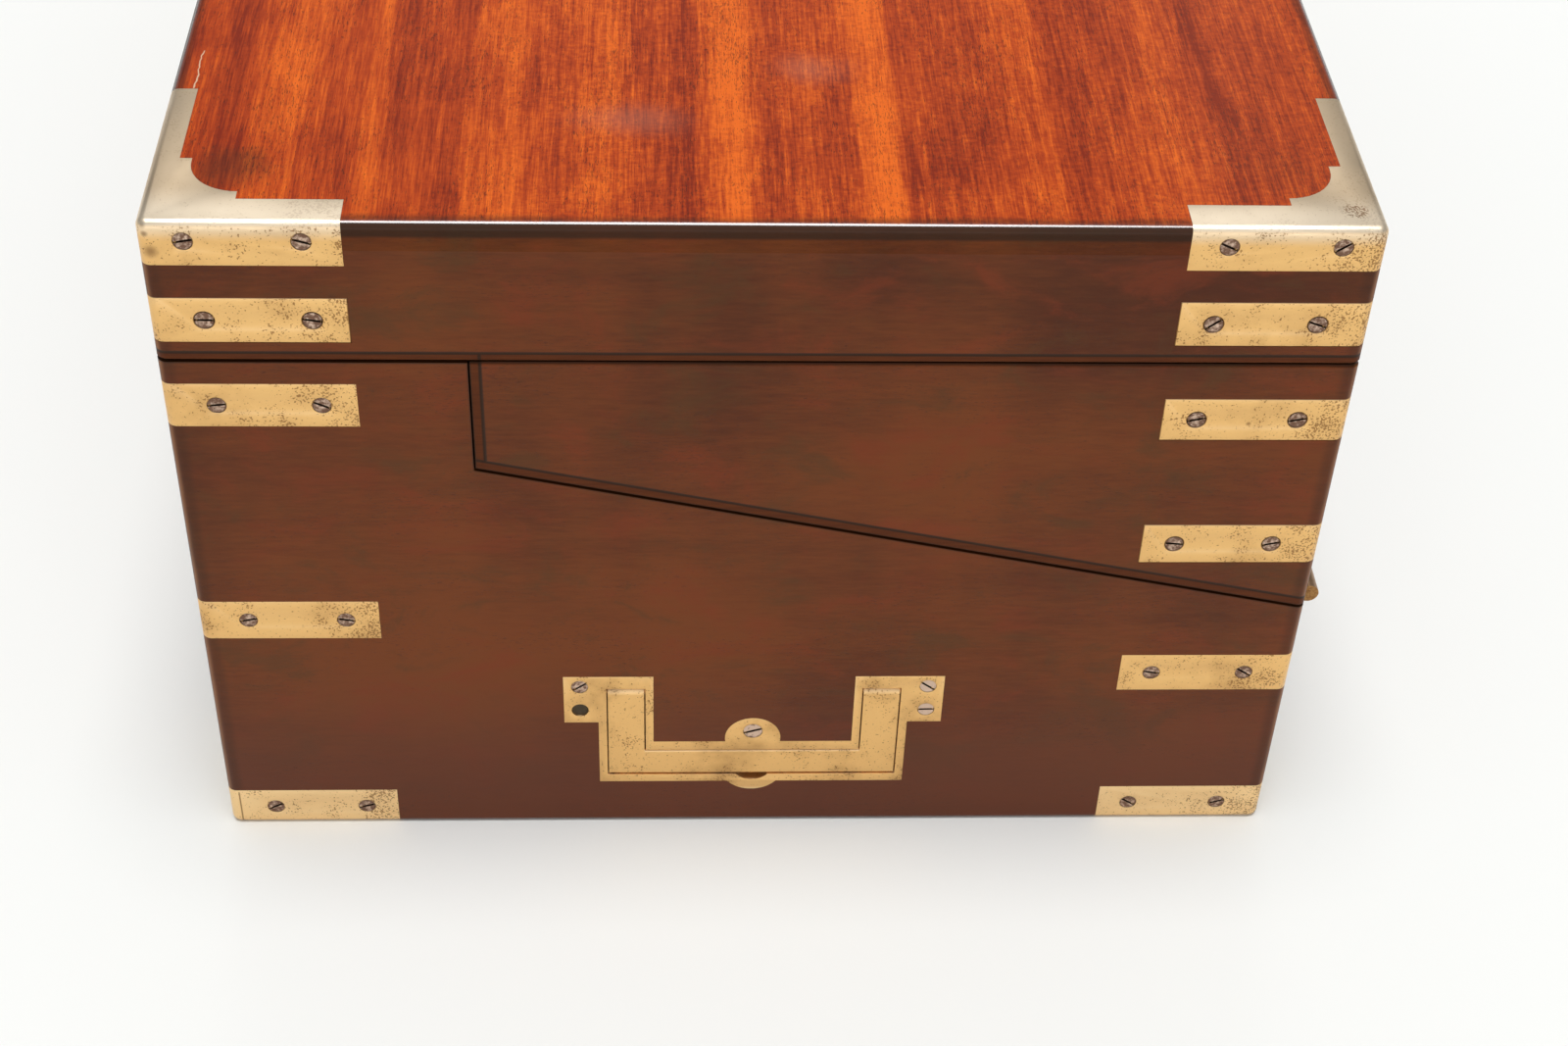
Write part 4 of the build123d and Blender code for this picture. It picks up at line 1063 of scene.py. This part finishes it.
class WoodOperator(bpy.types.Operator):
    """Finishes the mahogany boards outside and inside"""

    bl_idname = "writing_slope.wood"
    bl_label = "Mahogany"

    def execute(self, context):
        for finish, *nodes in (
            (side_mahogany("y"), "base_left_end", "base_right_end"),
            (side_mahogany("x"), "base_front", "base_back", "slope_front", "slope_back"),
            (side_mahogany("y", slope_joints), "slope_left_end", "slope_right_end"),
            (side_mahogany("y", lid_joint), "lid_left_end", "lid_right_end"),
            (side_mahogany("x", lid_joint), "lid_front", "lid_back"),
            (lipping_mahogany(), "slope_lipping", "lid_lipping"),
            (figured_mahogany(), "lid_top"),
            (
                inner_mahogany("x"), "base_bottom", "step_board", "compartment_floor", "pen_tray",
                "slope_top", "upper_writing_board", "lower_writing_board",
            ),
            (inner_mahogany("y"), "compartment_dividers", "tray_ledges", "board_rest_strips"),
            (writing_leather(), "upper_leather", "lower_leather"),
            (lining_cloth(), "lid_lining"),
        ):
            dress(finish, *nodes)
        return {"FINISHED"}


class BrassOperator(bpy.types.Operator):
    """Makes the corner brasses and straps, with their screws"""

    bl_idname = "writing_slope.brasses"
    bl_label = "Corner brasses and straps"

    def execute(self, context):
        lots = {"case": [], "lid": []}
        for name, node, body, *sides in (
            ("base_strap_set", "base_straps", "case", -1, 1),
            ("slope_strap_set", "slope_straps", "case", -1),
            ("lid_strap_set", "lid_straps", "lid", -1, 1),
        ):
            holes = []
            for side_y in sides:
                for level in strap_levels(node, side_y):
                    holes += pair_holes(level, side_y)
            fitting(name, node, body, holes)
            lots[body] += holes
        for name, node, side_y in (
            ("front_corner_set", "corner_brasses_front", -1),
            ("back_corner_set", "corner_brasses_back", 1),
        ):
            holes = pair_holes(TOP_Z - CORNER_SCREW_DROP, side_y, CORNER_SCREWS)
            fitting(name, node, "lid", holes)
            lots["lid"] += holes
        set_screws("case_strap_screws", lots["case"], "case")
        set_screws("lid_strap_screws", lots["lid"], "lid", 1)
        return {"FINISHED"}


class HandleOperator(bpy.types.Operator):
    """Makes the flush handles: the plate, its screws and the drop bail"""

    bl_idname = "writing_slope.handles"
    bl_label = "Flush handles"

    def execute(self, context):
        seated = []
        for name, side_x in (("left", -1), ("right", 1)):
            holes = handle_holes(side_x)
            fitting(f"{name}_handle_casting", f"{name}_handle_plate", "case", holes)
            fitting(f"{name}_drop_bail", f"{name}_bail", f"{name}_handle", [], RUBBED_EDGE)
            seated += [hole for hole in holes if (hole.place - MISSING_SCREW).length > MM]
        set_screws("handle_plate_screws", seated, "case", 2)
        self.empty_hole()
        return {"FINISHED"}

    def empty_hole(self):
        """A dark disc painted as the shade in the hole that has lost its screw."""
        screws = settings().screws
        deeper = Vector((screws.head_depth - SHADE_DISC_THICKNESS / 2, 0, 0))
        shape = bmesh.new()
        on_end = Matrix.Rotation(math.radians(90.0), 4, "Y")
        add_disc(shape, screws.handle_head_radius, SHADE_DISC_THICKNESS, MISSING_SCREW + deeper, on_end)
        piece = new_piece("empty_screw_hole", shape, plain_dark())
        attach(piece, "case")


class HingeOperator(bpy.types.Operator):
    """Makes the hinges and the lock, with their screws"""

    bl_idname = "writing_slope.hinges"
    bl_label = "Hinges and lock"

    def execute(self, context):
        lots = {"case": [], "lid": []}
        for name, node, body, holes in (
            ("lid_hinge_case_leaves", "lid_hinge_lower_leaves", "case", leaf_holes(CASE_TOP, 1)),
            ("lid_hinge_lid_leaves", "lid_hinge_upper_leaves", "lid", leaf_holes(LID_BOTTOM, -1)),
            ("box_lock", "lock_case", "case", lock_holes(CASE_TOP, 1)),
            ("box_lock_link", "lock_link_plate", "lid", lock_holes(LID_BOTTOM, -1)),
            ("key_escutcheon", "lock_escutcheon", "case", []),
        ):
            fitting(name, node, body, holes, ease=0.5)
            lots[body] += holes
        set_screws("case_seam_screws", lots["case"], "case", 3)
        set_screws("lid_seam_screws", lots["lid"], "lid", 4)
        dull = brass_finish("dull_hinge_brass", 0.8)
        dress(dull, "slope_hinge_lower_leaves", "slope_hinge_upper_leaves")
        dress(brass_finish(), "lock_bolt")
        return {"FINISHED"}


class InkwellOperator(bpy.types.Operator):
    """Finishes the inkwells"""

    bl_idname = "writing_slope.inkwells"
    bl_label = "Inkwells"

    def execute(self, context):
        dress(brass_finish(), "inkwell_collars", "left_inkwell_cap", "right_inkwell_cap")
        dress(inkwell_glass(), "inkwell_bottles")
        return {"FINISHED"}


class SlopePanel(bpy.types.Panel):
    """Lists the settings and the operators in the sidebar"""

    bl_idname = "VIEW3D_PT_writing_slope"
    bl_label = "Writing slope"
    bl_space_type = "VIEW_3D"
    bl_region_type = "UI"
    bl_category = "Writing slope"

    def draw(self, context):
        for group in (settings().stage, settings().wood, settings().brass, settings().screws):
            box = self.layout.box()
            for name in group.__annotations__:
                box.prop(group, name)
        for operator in OPERATORS:
            self.layout.operator(operator.bl_idname)


GROUPS = (StageSettings, WoodSettings, BrassSettings, ScrewSettings, SlopeSettings)
OPERATORS = (
    StageOperator, WoodOperator, BrassOperator, HandleOperator, HingeOperator, InkwellOperator,
)
CLASSES = (*GROUPS, *OPERATORS, SlopePanel)


def register():
    for item in CLASSES:
        bpy.utils.register_class(item)
    bpy.types.Scene.writing_slope = PointerProperty(type=SlopeSettings)


def unregister():
    del bpy.types.Scene.writing_slope
    for item in reversed(CLASSES):
        bpy.utils.unregister_class(item)


def main():
    """Builds the dressed object."""
    register()
    for operator in OPERATORS:
        family, name = operator.bl_idname.split(".")
        getattr(getattr(bpy.ops, family), name)()


if __name__ == "__main__":
    main()
